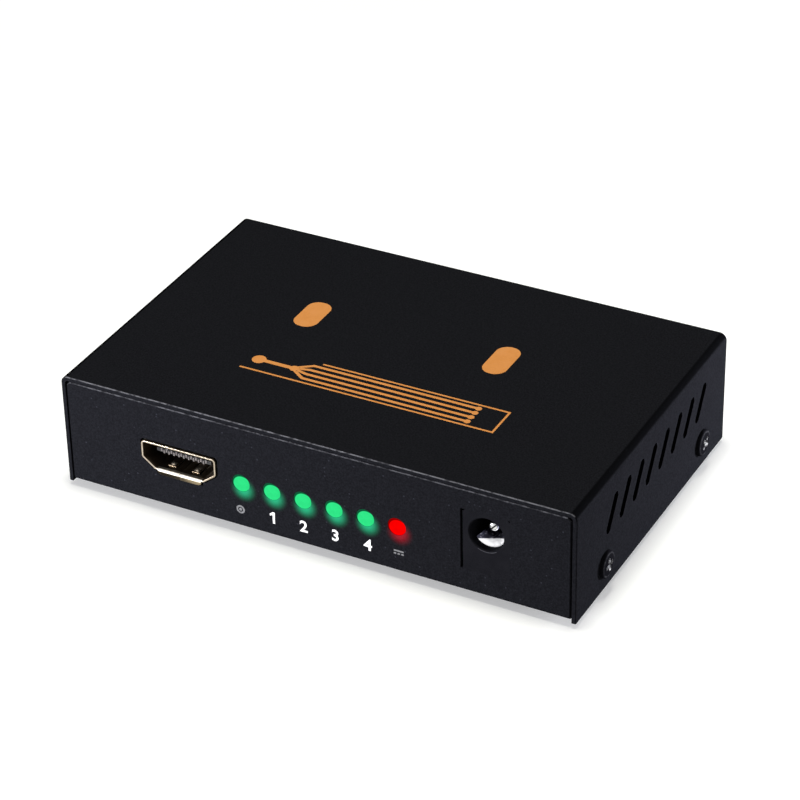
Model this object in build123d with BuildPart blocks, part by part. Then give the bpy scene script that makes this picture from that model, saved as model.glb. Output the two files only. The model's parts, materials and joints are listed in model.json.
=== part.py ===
from build123d import *
from math import atan2, degrees, hypot
import os

os.makedirs("parts", exist_ok=True)

# A four-way video splitter: a folded sheet case round one circuit board, one input socket, six lamps and
# a power inlet in front, and four output sockets at the back. The case stands on Z = 0, its front panel
# faces -Y, and X runs along the panels. Lengths are in millimetres.

# Case
case_width = 100.0
case_depth = 64.2
case_height = 22.0
sheet = 0.8
sheet_chamfer = 0.15
cover_stand = 1.0
cover_bend = 1.4
tray_lift = 0.3
tray_bend = 1.0
panel_side_gap = 0.3
panel_top_gap = 0.2
panel_corner = 0.6
overrun = 1.0

# Side flanges of the tray
flange_gap = 0.1
flange_height = 8.5
flange_inset = 5.1
flange_relief = 1.0

# Vent slots, one row in each side of the cover
vent_count = 8
vent_pitch = 5.48
vent_width = 1.8
vent_end = 0.6
vent_rise = 6.4
vent_lean = 3.8
vent_height = 13.85
vent_pattern_y = 1.4

# Cover screws
screw_pattern_y = 0.6
screw_inset = 6.05
screw_height = 5.0
screw_radius = 1.5
screw_length = 4.0
screw_head_radius = 2.5
screw_head_height = 1.0
screw_rim_height = 0.45
screw_crown_radius = 1.8
recess_span = 3.0
recess_width = 0.7
recess_depth = 0.6
cover_hole_size = 3.3
thread_play = 0.03

# Rubber feet
foot_size = 8.0
foot_inset = 10.0
foot_corner = 1.0
foot_chamfer = 0.3

# Circuit board and what carries it
board_side_gap = 2.8
board_gap = 0.3
board_thickness = 1.6
board_hole_radius = 1.65
post_inset = 3.5
post_flats = 5.0
board_screw_length = 4.5
board_screw_head = 2.0
board_screw_flats = 5.0

# Video sockets
socket_width = 15.0
socket_tall = 5.4
socket_side_height = 3.4
socket_floor = 9.8
socket_corner = 0.3
socket_height = 10.5
socket_over_board = 3.1
input_share = -0.264
output_pitch_share = 0.23
output_count = 4
mouth_proud = 0.3
shell_wall = 0.3
shell_depth = 11.2
shell_play = 0.05
window_gap = 0.3
lip_width = 8.8
lip_reach = 0.6
lip_root = 1.2
lip_bend = 0.35
seam_gap = 0.1
spring_x = 2.4
spring_width = 1.6
spring_length = 4.4
spring_tip = 1.5
spring_slit = 0.2
bump_depth = 2.4
bump_length = 0.8
bump_crown = 0.35
bump_width = 1.1
bump_height = 0.3
leg_depths = (3.4, 9.4)
leg_width = 1.2
leg_overlap = 0.8

# Socket insulator and contacts
tongue_width = 11.0
tongue_thickness = 0.7
tongue_rise = 0.28
tongue_recess = 2.0
block_depth = 7.6
upper_contact_count = 10
lower_contact_count = 9
contact_pitch = 1.0
contact_width = 0.3
contact_thickness = 0.12
contact_hook = 0.65
contact_play = 0.02

# Power inlet
jack_share = 0.333
jack_axis_height = 5.5
jack_recess = 0.25
jack_width = 8.8
jack_height = 9.7
jack_corner = 0.6
jack_front_length = 3.5
jack_length = 14.0
jack_barrel_width = 8.2
jack_barrel_chamfer = 2.4
jack_gap_left = 0.35
jack_gap_right = 0.07
jack_gap_top = 0.07
jack_window_drop = 2.3
apron_setback = 0.05
apron_play = 0.1
bore_radius = 3.2
bore_depth = 9.5
bore_chamfer = 0.2
pin_radius = 1.0
pin_chamfer = 0.4
pin_tip_depth = 2.5
pin_slot = 0.25
pin_slot_depth = 2.0
pin_slot_angle = 45
pin_tail = 1.4
sleeve_wall = 0.25
sleeve_start = 1.35
sleeve_length = 6.5
sleeve_from_angle = 215
sleeve_sweep_angle = 165
lug_width = 2.4
lug_thickness = 0.3
lug_poke = 0.8
lug_play = 0.05
lug_hole_gap = 0.2
switch_depth = 8.0
switch_rise = 1.5

# Indicator lamps
lamp_count = 6
lamp_first_share = -0.14
lamp_pitch_share = 0.061
lamp_height = 9.7
lamp_hole_radius = 1.75
lamp_radius = 1.6
lamp_tip_radius = 1.1
lamp_nose = 0.45
lamp_length = 5.2
lead_size = 0.5
lead_spacing = 2.54
lead_run = 2.2

# Splitter chip and its heat sink
chip_size = 14.0
chip_thickness = 1.2
chip_y = -3.0
chip_chamfer = 0.6
pad_size = 13.0
pad_thickness = 0.5
sink_size = 15.0
sink_base = 1.5
sink_height = 6.5
fin_count = 7
fin_thickness = 0.8

# Control chip
control_share = -0.27
control_y = -5.0
control_size = 5.0
control_thickness = 0.9
control_chamfer = 0.4

# Voltage regulators with their leads
regulator_share = 0.21
regulator_ys = (-13.0, -3.0)
regulator_length = 6.5
regulator_width = 3.5
regulator_thickness = 1.6
regulator_lift = 0.1
regulator_lead_count = 3
regulator_pitch = 2.3
regulator_tab_width = 3.0
lead_width = 0.7
lead_thickness = 0.2
lead_reach = 1.5

# Other board parts
coil_share = 0.33
coil_y = -8.0
coil_size = 7.0
coil_height = 4.0
coil_chamfer = 1.6
can_share = -0.33
can_y = 8.0
can_radius = 3.15
can_height = 7.2
can_base_size = 6.6
can_base_height = 1.0
can_base_chamfer = 1.2
crystal_share = -0.15
crystal_y = -14.0
crystal_length = 11.0
crystal_width = 4.5
crystal_height = 3.5
crystal_chamfer = 1.2
capacitor_length = 1.6
capacitor_width = 0.8
capacitor_height = 0.8
capacitor_pitch = 3.2
capacitor_clearance = 3.0
capacitor_count = 5
resistor_length = 1.6
resistor_width = 0.8
resistor_height = 0.45
resistor_setback = 9.0
guard_length = 5.0
guard_width = 1.6
guard_height = 0.7
guard_setback = 3.2

# Levels, places and faces that follow from the sizes above
cover_top = cover_stand + case_height
tray_bottom = cover_stand + tray_lift
tray_floor = tray_bottom + sheet
panel_top = cover_top - sheet - panel_top_gap
panel_width = case_width - 2 * (sheet + panel_side_gap)
flange_x = case_width / 2 - sheet - flange_gap
flange_length = case_depth - 2 * flange_inset
socket_z = cover_stand + socket_height
board_top = socket_z - socket_over_board
board_bottom = board_top - board_thickness
board_width = 2 * (flange_x - sheet - board_side_gap)
board_depth = case_depth - 2 * (sheet + board_gap)
post_x = board_width / 2 - post_inset
jack_x = jack_share * case_width
jack_z = board_top + jack_axis_height
lamp_z = cover_stand + lamp_height
screw_z = cover_stand + screw_height
lamp_xs = [(lamp_first_share + i * lamp_pitch_share) * case_width for i in range(lamp_count)]
screw_ys = [screw_pattern_y + side * (flange_length / 2 - screw_inset) for side in (-1, 1)]
output_xs = [(i - (output_count - 1) / 2) * output_pitch_share * case_width for i in range(output_count)]

front = Plane(origin=(0, -case_depth / 2, 0), x_dir=(1, 0, 0), z_dir=(0, -1, 0))
back = Plane(origin=(0, case_depth / 2, 0), x_dir=(-1, 0, 0), z_dir=(0, 1, 0))


def finish(part, label):
    """Labels a piece and writes it to its own file."""
    part.label = label
    export_step(part, f"parts/{label}.step")


def socket_mouth(face, x):
    """The plane of a socket's mouth, centred on it, looking out of the case."""
    across = x if face is front else -x
    centre = face.offset(mouth_proud).from_local_coords((across, socket_z, 0))
    return Plane(origin=centre, x_dir=face.x_dir, z_dir=face.z_dir)


def side_view(plane):
    """The plane that cuts a socket or the inlet lengthwise, X out of the case and Y up."""
    return Plane(origin=plane.origin, x_dir=plane.z_dir, z_dir=-plane.x_dir)


def plan_view(plane):
    """The level plane through a socket's centre, X across it and Y out of the case."""
    return Plane(origin=plane.origin, x_dir=plane.x_dir, z_dir=-plane.y_dir)


def on_board(plane, across, depth):
    """A place on the board, given across a socket or inlet and back from its face."""
    place = plane.from_local_coords((across, 0, -depth))
    return (place.X, place.Y)


input_mouth = socket_mouth(front, input_share * case_width)
output_mouths = [socket_mouth(back, x) for x in output_xs]
jack_face = Plane(
    origin=front.offset(-jack_recess).from_local_coords((jack_x, jack_z, 0)),
    x_dir=front.x_dir,
    z_dir=front.z_dir,
)


def socket_outline(grow=0):
    """The outline of a socket, wide side up with slanted lower corners, grown by a margin."""
    half, top, floor = socket_width / 2, socket_tall / 2, socket_floor / 2
    knee = top - socket_side_height
    with BuildSketch() as outline:
        with BuildLine():
            Polyline(
                (-half, top), (half, top), (half, knee), (floor, -top), (-floor, -top), (-half, knee), close=True
            )
        make_face()
        chamfer(outline.vertices(), length=socket_corner)
        if grow:
            offset(amount=grow, kind=Kind.INTERSECTION)
    return outline.sketch


def pan_screw(seat):
    """A pan-head screw with a cross recess, its head on the seat plane."""
    with BuildPart() as screw:
        with BuildSketch(side_view(seat)):
            with BuildLine():
                Polyline(
                    (screw_head_height, 0), (-screw_length, 0), (-screw_length, screw_radius),
                    (0, screw_radius), (0, screw_head_radius), (screw_rim_height, screw_head_radius),
                    (screw_head_height, screw_crown_radius), close=True,
                )
            make_face()
        revolve(axis=Axis(seat.origin, seat.z_dir))
        with BuildSketch(seat.offset(screw_head_height)):
            Rectangle(recess_span, recess_width)
            Rectangle(recess_width, recess_span)
        extrude(amount=-recess_depth, mode=Mode.SUBTRACT)
    return screw.part


# Base tray: floor, front and back panel folded from one sheet, with two side flanges

with BuildPart() as base_tray:
    with BuildSketch(Plane.XY.offset(tray_bottom)):
        Rectangle(panel_width, case_depth)
    extrude(amount=panel_top - tray_bottom)
    fillet(base_tray.faces().sort_by(Axis.Z)[0].edges().filter_by(Axis.X), radius=tray_bend)
    chamfer(base_tray.faces().sort_by(Axis.Z)[-1].edges().filter_by(Axis.Y), length=panel_corner)
    tray_ends = base_tray.faces().sort_by(Axis.Y)
    end_edges = [edge for end in (tray_ends[0], tray_ends[-1]) for edge in end.edges().sort_by(Axis.Z)[1:]]
    chamfer(end_edges, length=sheet_chamfer)

    with BuildSketch(Plane.YZ) as tray_inside:
        with Locations((0, tray_floor)):
            Rectangle(case_depth - 2 * sheet, case_height, align=(Align.CENTER, Align.MIN))
        fillet(tray_inside.vertices().group_by(Axis.Y)[0], radius=tray_bend - sheet)
    extrude(amount=case_width, both=True, mode=Mode.SUBTRACT)

    notch_x = flange_x - tray_bend - flange_relief
    with BuildSketch(Plane.XY.offset(tray_bottom)):
        for side in (-1, 1):
            with Locations((side * (notch_x + tray_bend), 0)):
                Rectangle(2 * tray_bend, flange_length + 2 * flange_relief)
    extrude(amount=sheet, mode=Mode.SUBTRACT)

    with BuildSketch(Plane.XZ):
        with BuildLine():
            FilletPolyline(
                (-flange_x, tray_bottom + flange_height), (-flange_x, tray_bottom),
                (flange_x, tray_bottom), (flange_x, tray_bottom + flange_height), radius=tray_bend,
            )
            offset(amount=sheet, side=Side.LEFT)
        make_face()
    extrude(amount=flange_length / 2, both=True)

    with BuildSketch(Plane.YZ):
        with Locations(*[(y, screw_z) for y in screw_ys]):
            Circle(screw_radius + thread_play)
    extrude(amount=case_width, both=True, mode=Mode.SUBTRACT)

    window_lip = socket_tall / 2 + lip_reach + window_gap
    jack_left = jack_x - jack_width / 2 - jack_gap_left
    jack_right = jack_x + jack_width / 2 + jack_gap_right
    jack_top = board_top + jack_height + jack_gap_top
    with BuildSketch(front.offset(overrun)):
        with Locations((input_share * case_width, socket_z)):
            add(socket_outline(window_gap))
            Rectangle(lip_width + 2 * window_gap, window_lip, align=(Align.CENTER, Align.MAX))
        with Locations(*[(x, lamp_z) for x in lamp_xs]):
            Circle(lamp_hole_radius)
        with Locations((jack_left, jack_top)):
            Rectangle(
                jack_right - jack_left, jack_height + jack_gap_top + jack_window_drop,
                align=(Align.MIN, Align.MAX),
            )
    extrude(amount=-sheet - 2 * overrun, mode=Mode.SUBTRACT)
    with BuildSketch(back.offset(overrun)):
        with Locations(*[(x, socket_z) for x in output_xs]):
            add(socket_outline(window_gap))
            Rectangle(lip_width + 2 * window_gap, window_lip, align=(Align.CENTER, Align.MAX))
    extrude(amount=-sheet - 2 * overrun, mode=Mode.SUBTRACT)
finish(base_tray.part, "base_tray")


# Top cover: top and two sides folded from one sheet


def vent_slot():
    """One leaning vent slot with cut-off corners."""
    with BuildSketch() as slot:
        Rectangle(hypot(vent_lean, vent_rise), vent_width)
        chamfer(slot.vertices(), length=vent_end)
    return slot.sketch.rotate(Axis.Z, degrees(atan2(vent_rise, vent_lean)))


with BuildPart() as top_cover:
    with BuildSketch(Plane.XY.offset(cover_stand)):
        Rectangle(case_width, case_depth)
    extrude(amount=case_height)
    fillet(top_cover.faces().sort_by(Axis.Z)[-1].edges().filter_by(Axis.Y), radius=cover_bend)
    cover_ends = top_cover.faces().sort_by(Axis.Y)
    end_edges = [edge for end in (cover_ends[0], cover_ends[-1]) for edge in end.edges().sort_by(Axis.Z)[1:]]
    chamfer(end_edges, length=sheet_chamfer)

    with BuildSketch(Plane.XZ) as cover_inside:
        with Locations((0, cover_top - sheet)):
            Rectangle(case_width - 2 * sheet, case_height, align=(Align.CENTER, Align.MAX))
        fillet(cover_inside.vertices().group_by(Axis.Y)[-1], radius=cover_bend - sheet)
    extrude(amount=case_depth, both=True, mode=Mode.SUBTRACT)

    with BuildSketch(Plane.YZ):
        with Locations((vent_pattern_y, cover_stand + vent_height)):
            with GridLocations(vent_pitch, vent_pitch, vent_count, 1):
                add(vent_slot())
        with Locations(*[(y, screw_z) for y in screw_ys]):
            Rectangle(cover_hole_size, cover_hole_size)
    extrude(amount=case_width, both=True, mode=Mode.SUBTRACT)
finish(top_cover.part, "top_cover")


# Screws that hold the cover to the flanges

cover_seats = [
    Plane(origin=(side * case_width / 2, y, screw_z), x_dir=(0, side, 0), z_dir=(side, 0, 0))
    for side in (-1, 1)
    for y in screw_ys
]
cover_screw_solids = [pan_screw(seat) for seat in cover_seats]
with BuildPart() as cover_screws:
    add(cover_screw_solids)
finish(cover_screws.part, "cover_screws")


# Stick-on feet under the tray

with BuildPart() as rubber_feet:
    with BuildSketch(Plane.XY) as foot_outline:
        with GridLocations(case_width - 2 * foot_inset, case_depth - 2 * foot_inset, 2, 2):
            Rectangle(foot_size, foot_size)
        chamfer(foot_outline.vertices(), length=foot_corner)
    extrude(amount=tray_bottom)
    chamfer(rubber_feet.faces().group_by(Axis.Z)[0].edges(), length=foot_chamfer)
finish(rubber_feet.part, "rubber_feet")


# Hexagonal posts on the tray's floor, tapped from above

post_places = [(-post_x, 0), (post_x, 0)]
with BuildPart() as board_posts:
    with BuildSketch(Plane.XY.offset(tray_floor)):
        with Locations(*post_places):
            RegularPolygon(post_flats / 2, 6, major_radius=False)
    extrude(amount=board_bottom - tray_floor)
    with BuildSketch(Plane.XY.offset(board_bottom)):
        with Locations(*post_places):
            Circle(screw_radius + thread_play)
    extrude(amount=board_thickness - board_screw_length - overrun, mode=Mode.SUBTRACT)
finish(board_posts.part, "board_posts")


# Hexagon-head screws that hold the board to the posts

with BuildPart() as board_screws:
    with BuildSketch(Plane.XY.offset(board_top)):
        with Locations(*post_places):
            RegularPolygon(board_screw_flats / 2, 6, major_radius=False)
    extrude(amount=board_screw_head)
    with BuildSketch(Plane.XY.offset(board_top)):
        with Locations(*post_places):
            Circle(screw_radius)
    extrude(amount=-board_screw_length)
finish(board_screws.part, "board_screws")


# Circuit board, with holes for its screws and the inlet lugs

lug_depths = (jack_length + lug_thickness / 2, sleeve_start + sleeve_length - lug_width / 2)

with BuildPart() as main_board:
    with BuildSketch(Plane.XY.offset(board_bottom)):
        Rectangle(board_width, board_depth)
        with Locations(*post_places):
            Circle(board_hole_radius, mode=Mode.SUBTRACT)
        with Locations(on_board(jack_face, 0, lug_depths[0])):
            Rectangle(lug_width + 2 * lug_hole_gap, lug_thickness + 2 * lug_hole_gap, mode=Mode.SUBTRACT)
        with Locations(on_board(jack_face, 0, lug_depths[1])):
            Rectangle(lug_width + 2 * lug_hole_gap, lug_width + 2 * lug_hole_gap, mode=Mode.SUBTRACT)
        with Locations(on_board(jack_face, -(jack_barrel_width + lug_thickness) / 2, switch_depth)):
            Rectangle(lug_thickness + 2 * lug_hole_gap, lug_width + 2 * lug_hole_gap, mode=Mode.SUBTRACT)
    extrude(amount=board_thickness)
finish(main_board.part, "main_board")


# Video sockets: shell, insulator and contacts


def socket_shell(mouth):
    """The folded metal shell, with a lower lip, a seam, two spring fingers and four legs on the board."""
    inner_top = socket_tall / 2 - shell_wall
    side = side_view(mouth)
    with BuildPart() as shell:
        with BuildSketch(mouth):
            add(socket_outline())
            add(socket_outline(-shell_wall), mode=Mode.SUBTRACT)
        extrude(amount=-shell_depth)

        with BuildSketch(mouth):
            with Locations((0, -socket_tall / 2)):
                Rectangle(lip_width, shell_wall, align=(Align.CENTER, Align.MIN))
        extrude(amount=-lip_root, mode=Mode.SUBTRACT)
        with BuildSketch(side):
            with BuildLine():
                Polyline(
                    (-lip_root, -inner_top), (-lip_bend, -inner_top), (0, -inner_top - lip_bend),
                    (0, -socket_tall / 2 - lip_reach),
                )
                offset(amount=shell_wall, side=Side.RIGHT, kind=Kind.INTERSECTION)
            make_face()
        extrude(amount=lip_width / 2, both=True)
        with BuildSketch(mouth.offset(overrun)):
            Rectangle(seam_gap, socket_tall, align=(Align.CENTER, Align.MAX))
        extrude(amount=-shell_depth - 2 * overrun, mode=Mode.SUBTRACT)

        with BuildSketch(plan_view(mouth)):
            with Locations((-spring_x, -spring_tip), (spring_x, -spring_tip)):
                Rectangle(
                    spring_width + 2 * spring_slit, spring_length, align=(Align.CENTER, Align.MAX)
                )
            with Locations((-spring_x, -spring_tip - spring_slit), (spring_x, -spring_tip - spring_slit)):
                Rectangle(
                    spring_width, spring_length, align=(Align.CENTER, Align.MAX), mode=Mode.SUBTRACT
                )
        extrude(amount=socket_tall, mode=Mode.SUBTRACT)
        for x in (-spring_x, spring_x):
            with BuildSketch(side.offset(x)):
                with BuildLine():
                    Polyline(
                        (-bump_depth - bump_length / 2, -inner_top),
                        (-bump_depth - bump_crown / 2, bump_height - inner_top),
                        (-bump_depth + bump_crown / 2, bump_height - inner_top),
                        (-bump_depth + bump_length / 2, -inner_top), close=True,
                    )
                make_face()
            extrude(amount=bump_width / 2, both=True)

        leg_top = socket_tall / 2 - socket_side_height + leg_overlap
        for x in (-1, 1):
            with BuildSketch(side.offset(x * (socket_width - shell_wall) / 2)):
                for depth in leg_depths:
                    with Locations((-depth, leg_top)):
                        Rectangle(leg_width, leg_top + socket_over_board, align=(Align.CENTER, Align.MAX))
            extrude(amount=shell_wall / 2, both=True)
    return shell.part


def contact(mouth, level):
    """One contact, hooked over the tongue's front and along its upper or lower face to the rear."""
    surface = tongue_rise + level * (tongue_thickness / 2 + contact_thickness)
    nose = -tongue_recess + contact_thickness
    tongue_side = Side.LEFT if level > 0 else Side.RIGHT
    with BuildPart() as strip:
        with BuildSketch(side_view(mouth)):
            with BuildLine():
                Polyline((nose, surface - level * contact_hook), (nose, surface), (-shell_depth, surface))
                offset(amount=contact_thickness, side=tongue_side, kind=Kind.INTERSECTION)
            make_face()
        extrude(amount=contact_width / 2, both=True)
    return strip.part


def contact_row(count):
    """Places of one row of contacts across a socket."""
    return [(i - (count - 1) / 2) * contact_pitch for i in range(count)]


def socket_contacts(mouth):
    """Both rows of contacts, the lower row half a pitch aside."""
    strips = []
    for level, count in ((1, upper_contact_count), (-1, lower_contact_count)):
        for x in contact_row(count):
            place = mouth.from_local_coords((x, 0, 0))
            strips.append(contact(Plane(origin=place, x_dir=mouth.x_dir, z_dir=mouth.z_dir), level))
    with BuildPart() as contacts:
        add(strips)
    return contacts.part


def socket_insulator(mouth):
    """The moulded block that closes the shell's rear, with the tongue in front."""
    with BuildPart() as insulator:
        with BuildSketch(mouth.offset(-block_depth)):
            add(socket_outline(-shell_wall - shell_play))
        extrude(amount=block_depth - shell_depth)
        with BuildSketch(mouth.offset(-tongue_recess)):
            with Locations((0, tongue_rise)):
                Rectangle(tongue_width, tongue_thickness)
        extrude(amount=tongue_recess - block_depth)
        slot_height = contact_thickness + contact_play
        with BuildSketch(mouth.offset(-block_depth)):
            for level, count in ((1, upper_contact_count), (-1, lower_contact_count)):
                slot_width = (count - 1) * contact_pitch + contact_width + 2 * contact_play
                with Locations((0, tongue_rise + level * (tongue_thickness + slot_height) / 2)):
                    Rectangle(slot_width, slot_height)
        extrude(amount=block_depth - shell_depth, mode=Mode.SUBTRACT)
    return insulator.part


sockets = {"input": input_mouth}
for number, mouth in enumerate(output_mouths, 1):
    sockets[f"output_{number}"] = mouth
for name, mouth in sockets.items():
    finish(socket_shell(mouth), f"{name}_shell")
    finish(socket_insulator(mouth), f"{name}_insulator")
    finish(socket_contacts(mouth), f"{name}_contacts")


# Power inlet: housing, split centre pin, sleeve contact and switch contact

jack_side = side_view(jack_face)
lug_end = -jack_axis_height - board_thickness - lug_poke
jack_floor = -jack_axis_height

with BuildPart() as jack_housing:
    with BuildSketch(jack_face) as block:
        with Locations((0, jack_floor)):
            Rectangle(jack_width, jack_height, align=(Align.CENTER, Align.MIN))
        chamfer(block.vertices().group_by(Axis.Y)[-1], length=jack_corner)
    extrude(amount=-jack_front_length)
    with BuildSketch(jack_face.offset(-apron_setback)):
        with Locations((0, jack_floor)):
            Rectangle(jack_width, jack_window_drop - jack_gap_top, align=(Align.CENTER, Align.MAX))
    extrude(amount=jack_recess + apron_setback + apron_play - sheet - board_gap)
    with BuildSketch(jack_face.offset(-jack_front_length)) as barrel:
        with Locations((0, jack_floor)):
            Rectangle(
                jack_barrel_width, jack_axis_height + jack_barrel_width / 2, align=(Align.CENTER, Align.MIN)
            )
        chamfer(barrel.vertices().group_by(Axis.Y)[-1], length=jack_barrel_chamfer)
    extrude(amount=jack_front_length - jack_length)
    with BuildSketch(jack_face):
        Circle(bore_radius)
    extrude(amount=-bore_depth, mode=Mode.SUBTRACT)
    chamfer(jack_housing.faces().sort_by(Axis.Y)[0].edges().filter_by(GeomType.CIRCLE), length=bore_chamfer)
    with BuildSketch(jack_face.offset(-bore_depth)):
        Rectangle(pin_tail, pin_tail)
    extrude(amount=bore_depth - jack_length, mode=Mode.SUBTRACT)
    with BuildSketch(jack_face.offset(-sleeve_start - sleeve_length + lug_width + lug_play)):
        with Locations((0, -bore_radius + sleeve_wall)):
            Rectangle(
                lug_thickness + 2 * lug_play, jack_axis_height - bore_radius + sleeve_wall,
                align=(Align.CENTER, Align.MAX),
            )
    extrude(amount=-lug_width - 2 * lug_play, mode=Mode.SUBTRACT)
finish(jack_housing.part, "jack_housing")

with BuildPart() as jack_pin:
    with BuildSketch(jack_face.offset(-pin_tip_depth)):
        Circle(pin_radius)
    extrude(amount=pin_tip_depth - bore_depth)
    with BuildSketch(jack_face.offset(-bore_depth)):
        Rectangle(pin_tail, pin_tail)
    extrude(amount=bore_depth - jack_length)
    chamfer(jack_pin.faces().sort_by(Axis.Y)[0].edges(), length=pin_chamfer)
    pin_tip = jack_face.offset(-pin_tip_depth)
    with BuildSketch(pin_tip):
        Rectangle(2 * pin_radius, pin_slot, rotation=pin_slot_angle)
    extrude(amount=-pin_slot_depth, mode=Mode.SUBTRACT)
    with BuildSketch(jack_face.offset(-jack_length)):
        with Locations((0, pin_radius)):
            Rectangle(lug_width, pin_radius - lug_end, align=(Align.CENTER, Align.MAX))
    extrude(amount=-lug_thickness)
finish(jack_pin.part, "jack_pin")

with BuildPart() as jack_sleeve:
    with BuildSketch(jack_face.offset(-sleeve_start)):
        with BuildLine():
            outer = CenterArc((0, 0), bore_radius, sleeve_from_angle, sleeve_sweep_angle)
            inner = CenterArc((0, 0), bore_radius - sleeve_wall, sleeve_from_angle, sleeve_sweep_angle)
            Line(outer @ 0, inner @ 0)
            Line(outer @ 1, inner @ 1)
        make_face()
    extrude(amount=-sleeve_length)
    with BuildSketch(jack_face.offset(-sleeve_start - sleeve_length + lug_width)):
        with Locations((0, -bore_radius + sleeve_wall / 2)):
            Rectangle(
                lug_thickness, -lug_end - bore_radius + sleeve_wall / 2, align=(Align.CENTER, Align.MAX)
            )
    extrude(amount=-lug_width)
finish(jack_sleeve.part, "jack_sleeve")

with BuildPart() as jack_switch:
    with BuildSketch(jack_side.offset(jack_barrel_width / 2)):
        with Locations((-switch_depth, switch_rise)):
            Rectangle(lug_width, switch_rise - lug_end, align=(Align.CENTER, Align.MAX))
    extrude(amount=lug_thickness)
finish(jack_switch.part, "jack_switch")


# Indicator lamps: a lens with a tapered nose, and two bent leads each


def lamp_lens(x):
    """One lamp's moulded lens, its nose in the panel's hole."""
    tip = front.offset(mouth_proud).from_local_coords((x, lamp_z, 0))
    with BuildPart() as lens:
        with BuildSketch(Plane(origin=tip, x_dir=front.z_dir, z_dir=(0, 0, 1))):
            with BuildLine():
                Polyline(
                    (0, 0), (0, lamp_tip_radius), (-lamp_nose, lamp_radius), (-lamp_length, lamp_radius),
                    (-lamp_length, 0), close=True,
                )
            make_face()
        revolve(axis=Axis(tip, front.z_dir))
    return lens.part


def lamp_lead(x):
    """One square lead, straight out of the lens and bent down to the board."""
    start = front.offset(mouth_proud - lamp_length).from_local_coords((x, lamp_z, 0))
    with BuildPart() as lead:
        with BuildSketch(Plane(origin=start, x_dir=front.z_dir, z_dir=-front.x_dir)):
            with BuildLine():
                Polyline(
                    (0, lead_size / 2), (-lead_run - lead_size / 2, lead_size / 2),
                    (-lead_run - lead_size / 2, board_top - lamp_z),
                )
                offset(amount=lead_size, side=Side.LEFT, kind=Kind.INTERSECTION)
            make_face()
        extrude(amount=lead_size / 2, both=True)
    return lead.part


lamp_names = ["input_lamp", "output_1_lamp", "output_2_lamp", "output_3_lamp", "output_4_lamp", "power_lamp"]
for name, x in zip(lamp_names, lamp_xs):
    finish(lamp_lens(x), name)

lead_solids = [lamp_lead(x + side * lead_spacing / 2) for x in lamp_xs for side in (-1, 1)]
with BuildPart() as lamp_leads:
    add(lead_solids)
finish(lamp_leads.part, "lamp_leads")


# Splitter chip, thermal pad and heat sink

with BuildPart() as splitter_chip:
    with BuildSketch(Plane.XY.offset(board_top)) as chip_outline:
        with Locations((0, chip_y)):
            Rectangle(chip_size, chip_size)
        chamfer(chip_outline.vertices().sort_by(Axis.X)[:1], length=chip_chamfer)
    extrude(amount=chip_thickness)
finish(splitter_chip.part, "splitter_chip")

with BuildPart() as thermal_pad:
    with BuildSketch(Plane.XY.offset(board_top + chip_thickness)):
        with Locations((0, chip_y)):
            Rectangle(pad_size, pad_size)
    extrude(amount=pad_thickness)
finish(thermal_pad.part, "thermal_pad")

with BuildPart() as heat_sink:
    with BuildSketch(Plane.XY.offset(board_top + chip_thickness + pad_thickness)):
        with Locations((0, chip_y)):
            Rectangle(sink_size, sink_size)
    extrude(amount=sink_base)
    fin_pitch = (sink_size - fin_thickness) / (fin_count - 1)
    with BuildSketch(Plane.XY.offset(board_top + chip_thickness + pad_thickness + sink_base)):
        with Locations((0, chip_y)):
            with GridLocations(fin_pitch, fin_pitch, fin_count, 1):
                Rectangle(fin_thickness, sink_size)
    extrude(amount=sink_height - sink_base)
finish(heat_sink.part, "heat_sink")


# Control chip

with BuildPart() as control_chip:
    with BuildSketch(Plane.XY.offset(board_top)) as control_outline:
        with Locations((control_share * case_width, control_y)):
            Rectangle(control_size, control_size)
        chamfer(control_outline.vertices(), length=control_chamfer)
    extrude(amount=control_thickness)
finish(control_chip.part, "control_chip")


# Voltage regulators: a moulded body, three narrow leads and a broad tab each

regulator_x = regulator_share * case_width
with BuildPart() as regulators:
    with BuildSketch(Plane.XY.offset(board_top + regulator_lift)):
        with Locations(*[(regulator_x, y) for y in regulator_ys]):
            Rectangle(regulator_width, regulator_length)
    extrude(amount=regulator_thickness)
finish(regulators.part, "regulators")


def package_lead(y, side, breadth):
    """One lead, out of a regulator's side, down, and out again on the board."""
    exit_height = regulator_lift + regulator_thickness / 2
    knee = lead_reach / 2
    with BuildPart() as lead:
        root = (regulator_x + side * regulator_width / 2, y, board_top)
        with BuildSketch(Plane(origin=root, x_dir=(side, 0, 0), z_dir=(0, -side, 0))):
            with BuildLine():
                Polyline(
                    (0, exit_height), (knee, exit_height), (knee, lead_thickness), (lead_reach, lead_thickness)
                )
                offset(amount=lead_thickness, side=Side.RIGHT, kind=Kind.INTERSECTION)
            make_face()
        extrude(amount=breadth / 2, both=True)
    return lead.part


regulator_lead_solids = []
for middle in regulator_ys:
    regulator_lead_solids.append(package_lead(middle, 1, regulator_tab_width))
    for i in range(regulator_lead_count):
        y = middle + (i - (regulator_lead_count - 1) / 2) * regulator_pitch
        regulator_lead_solids.append(package_lead(y, -1, lead_width))
with BuildPart() as regulator_leads:
    add(regulator_lead_solids)
finish(regulator_leads.part, "regulator_leads")


# Power inductor

with BuildPart() as power_inductor:
    with BuildSketch(Plane.XY.offset(board_top)) as coil_outline:
        with Locations((coil_share * case_width, coil_y)):
            Rectangle(coil_size, coil_size)
        chamfer(coil_outline.vertices(), length=coil_chamfer)
    extrude(amount=coil_height)
finish(power_inductor.part, "power_inductor")


# Electrolytic capacitor: a square base and a round can

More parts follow.
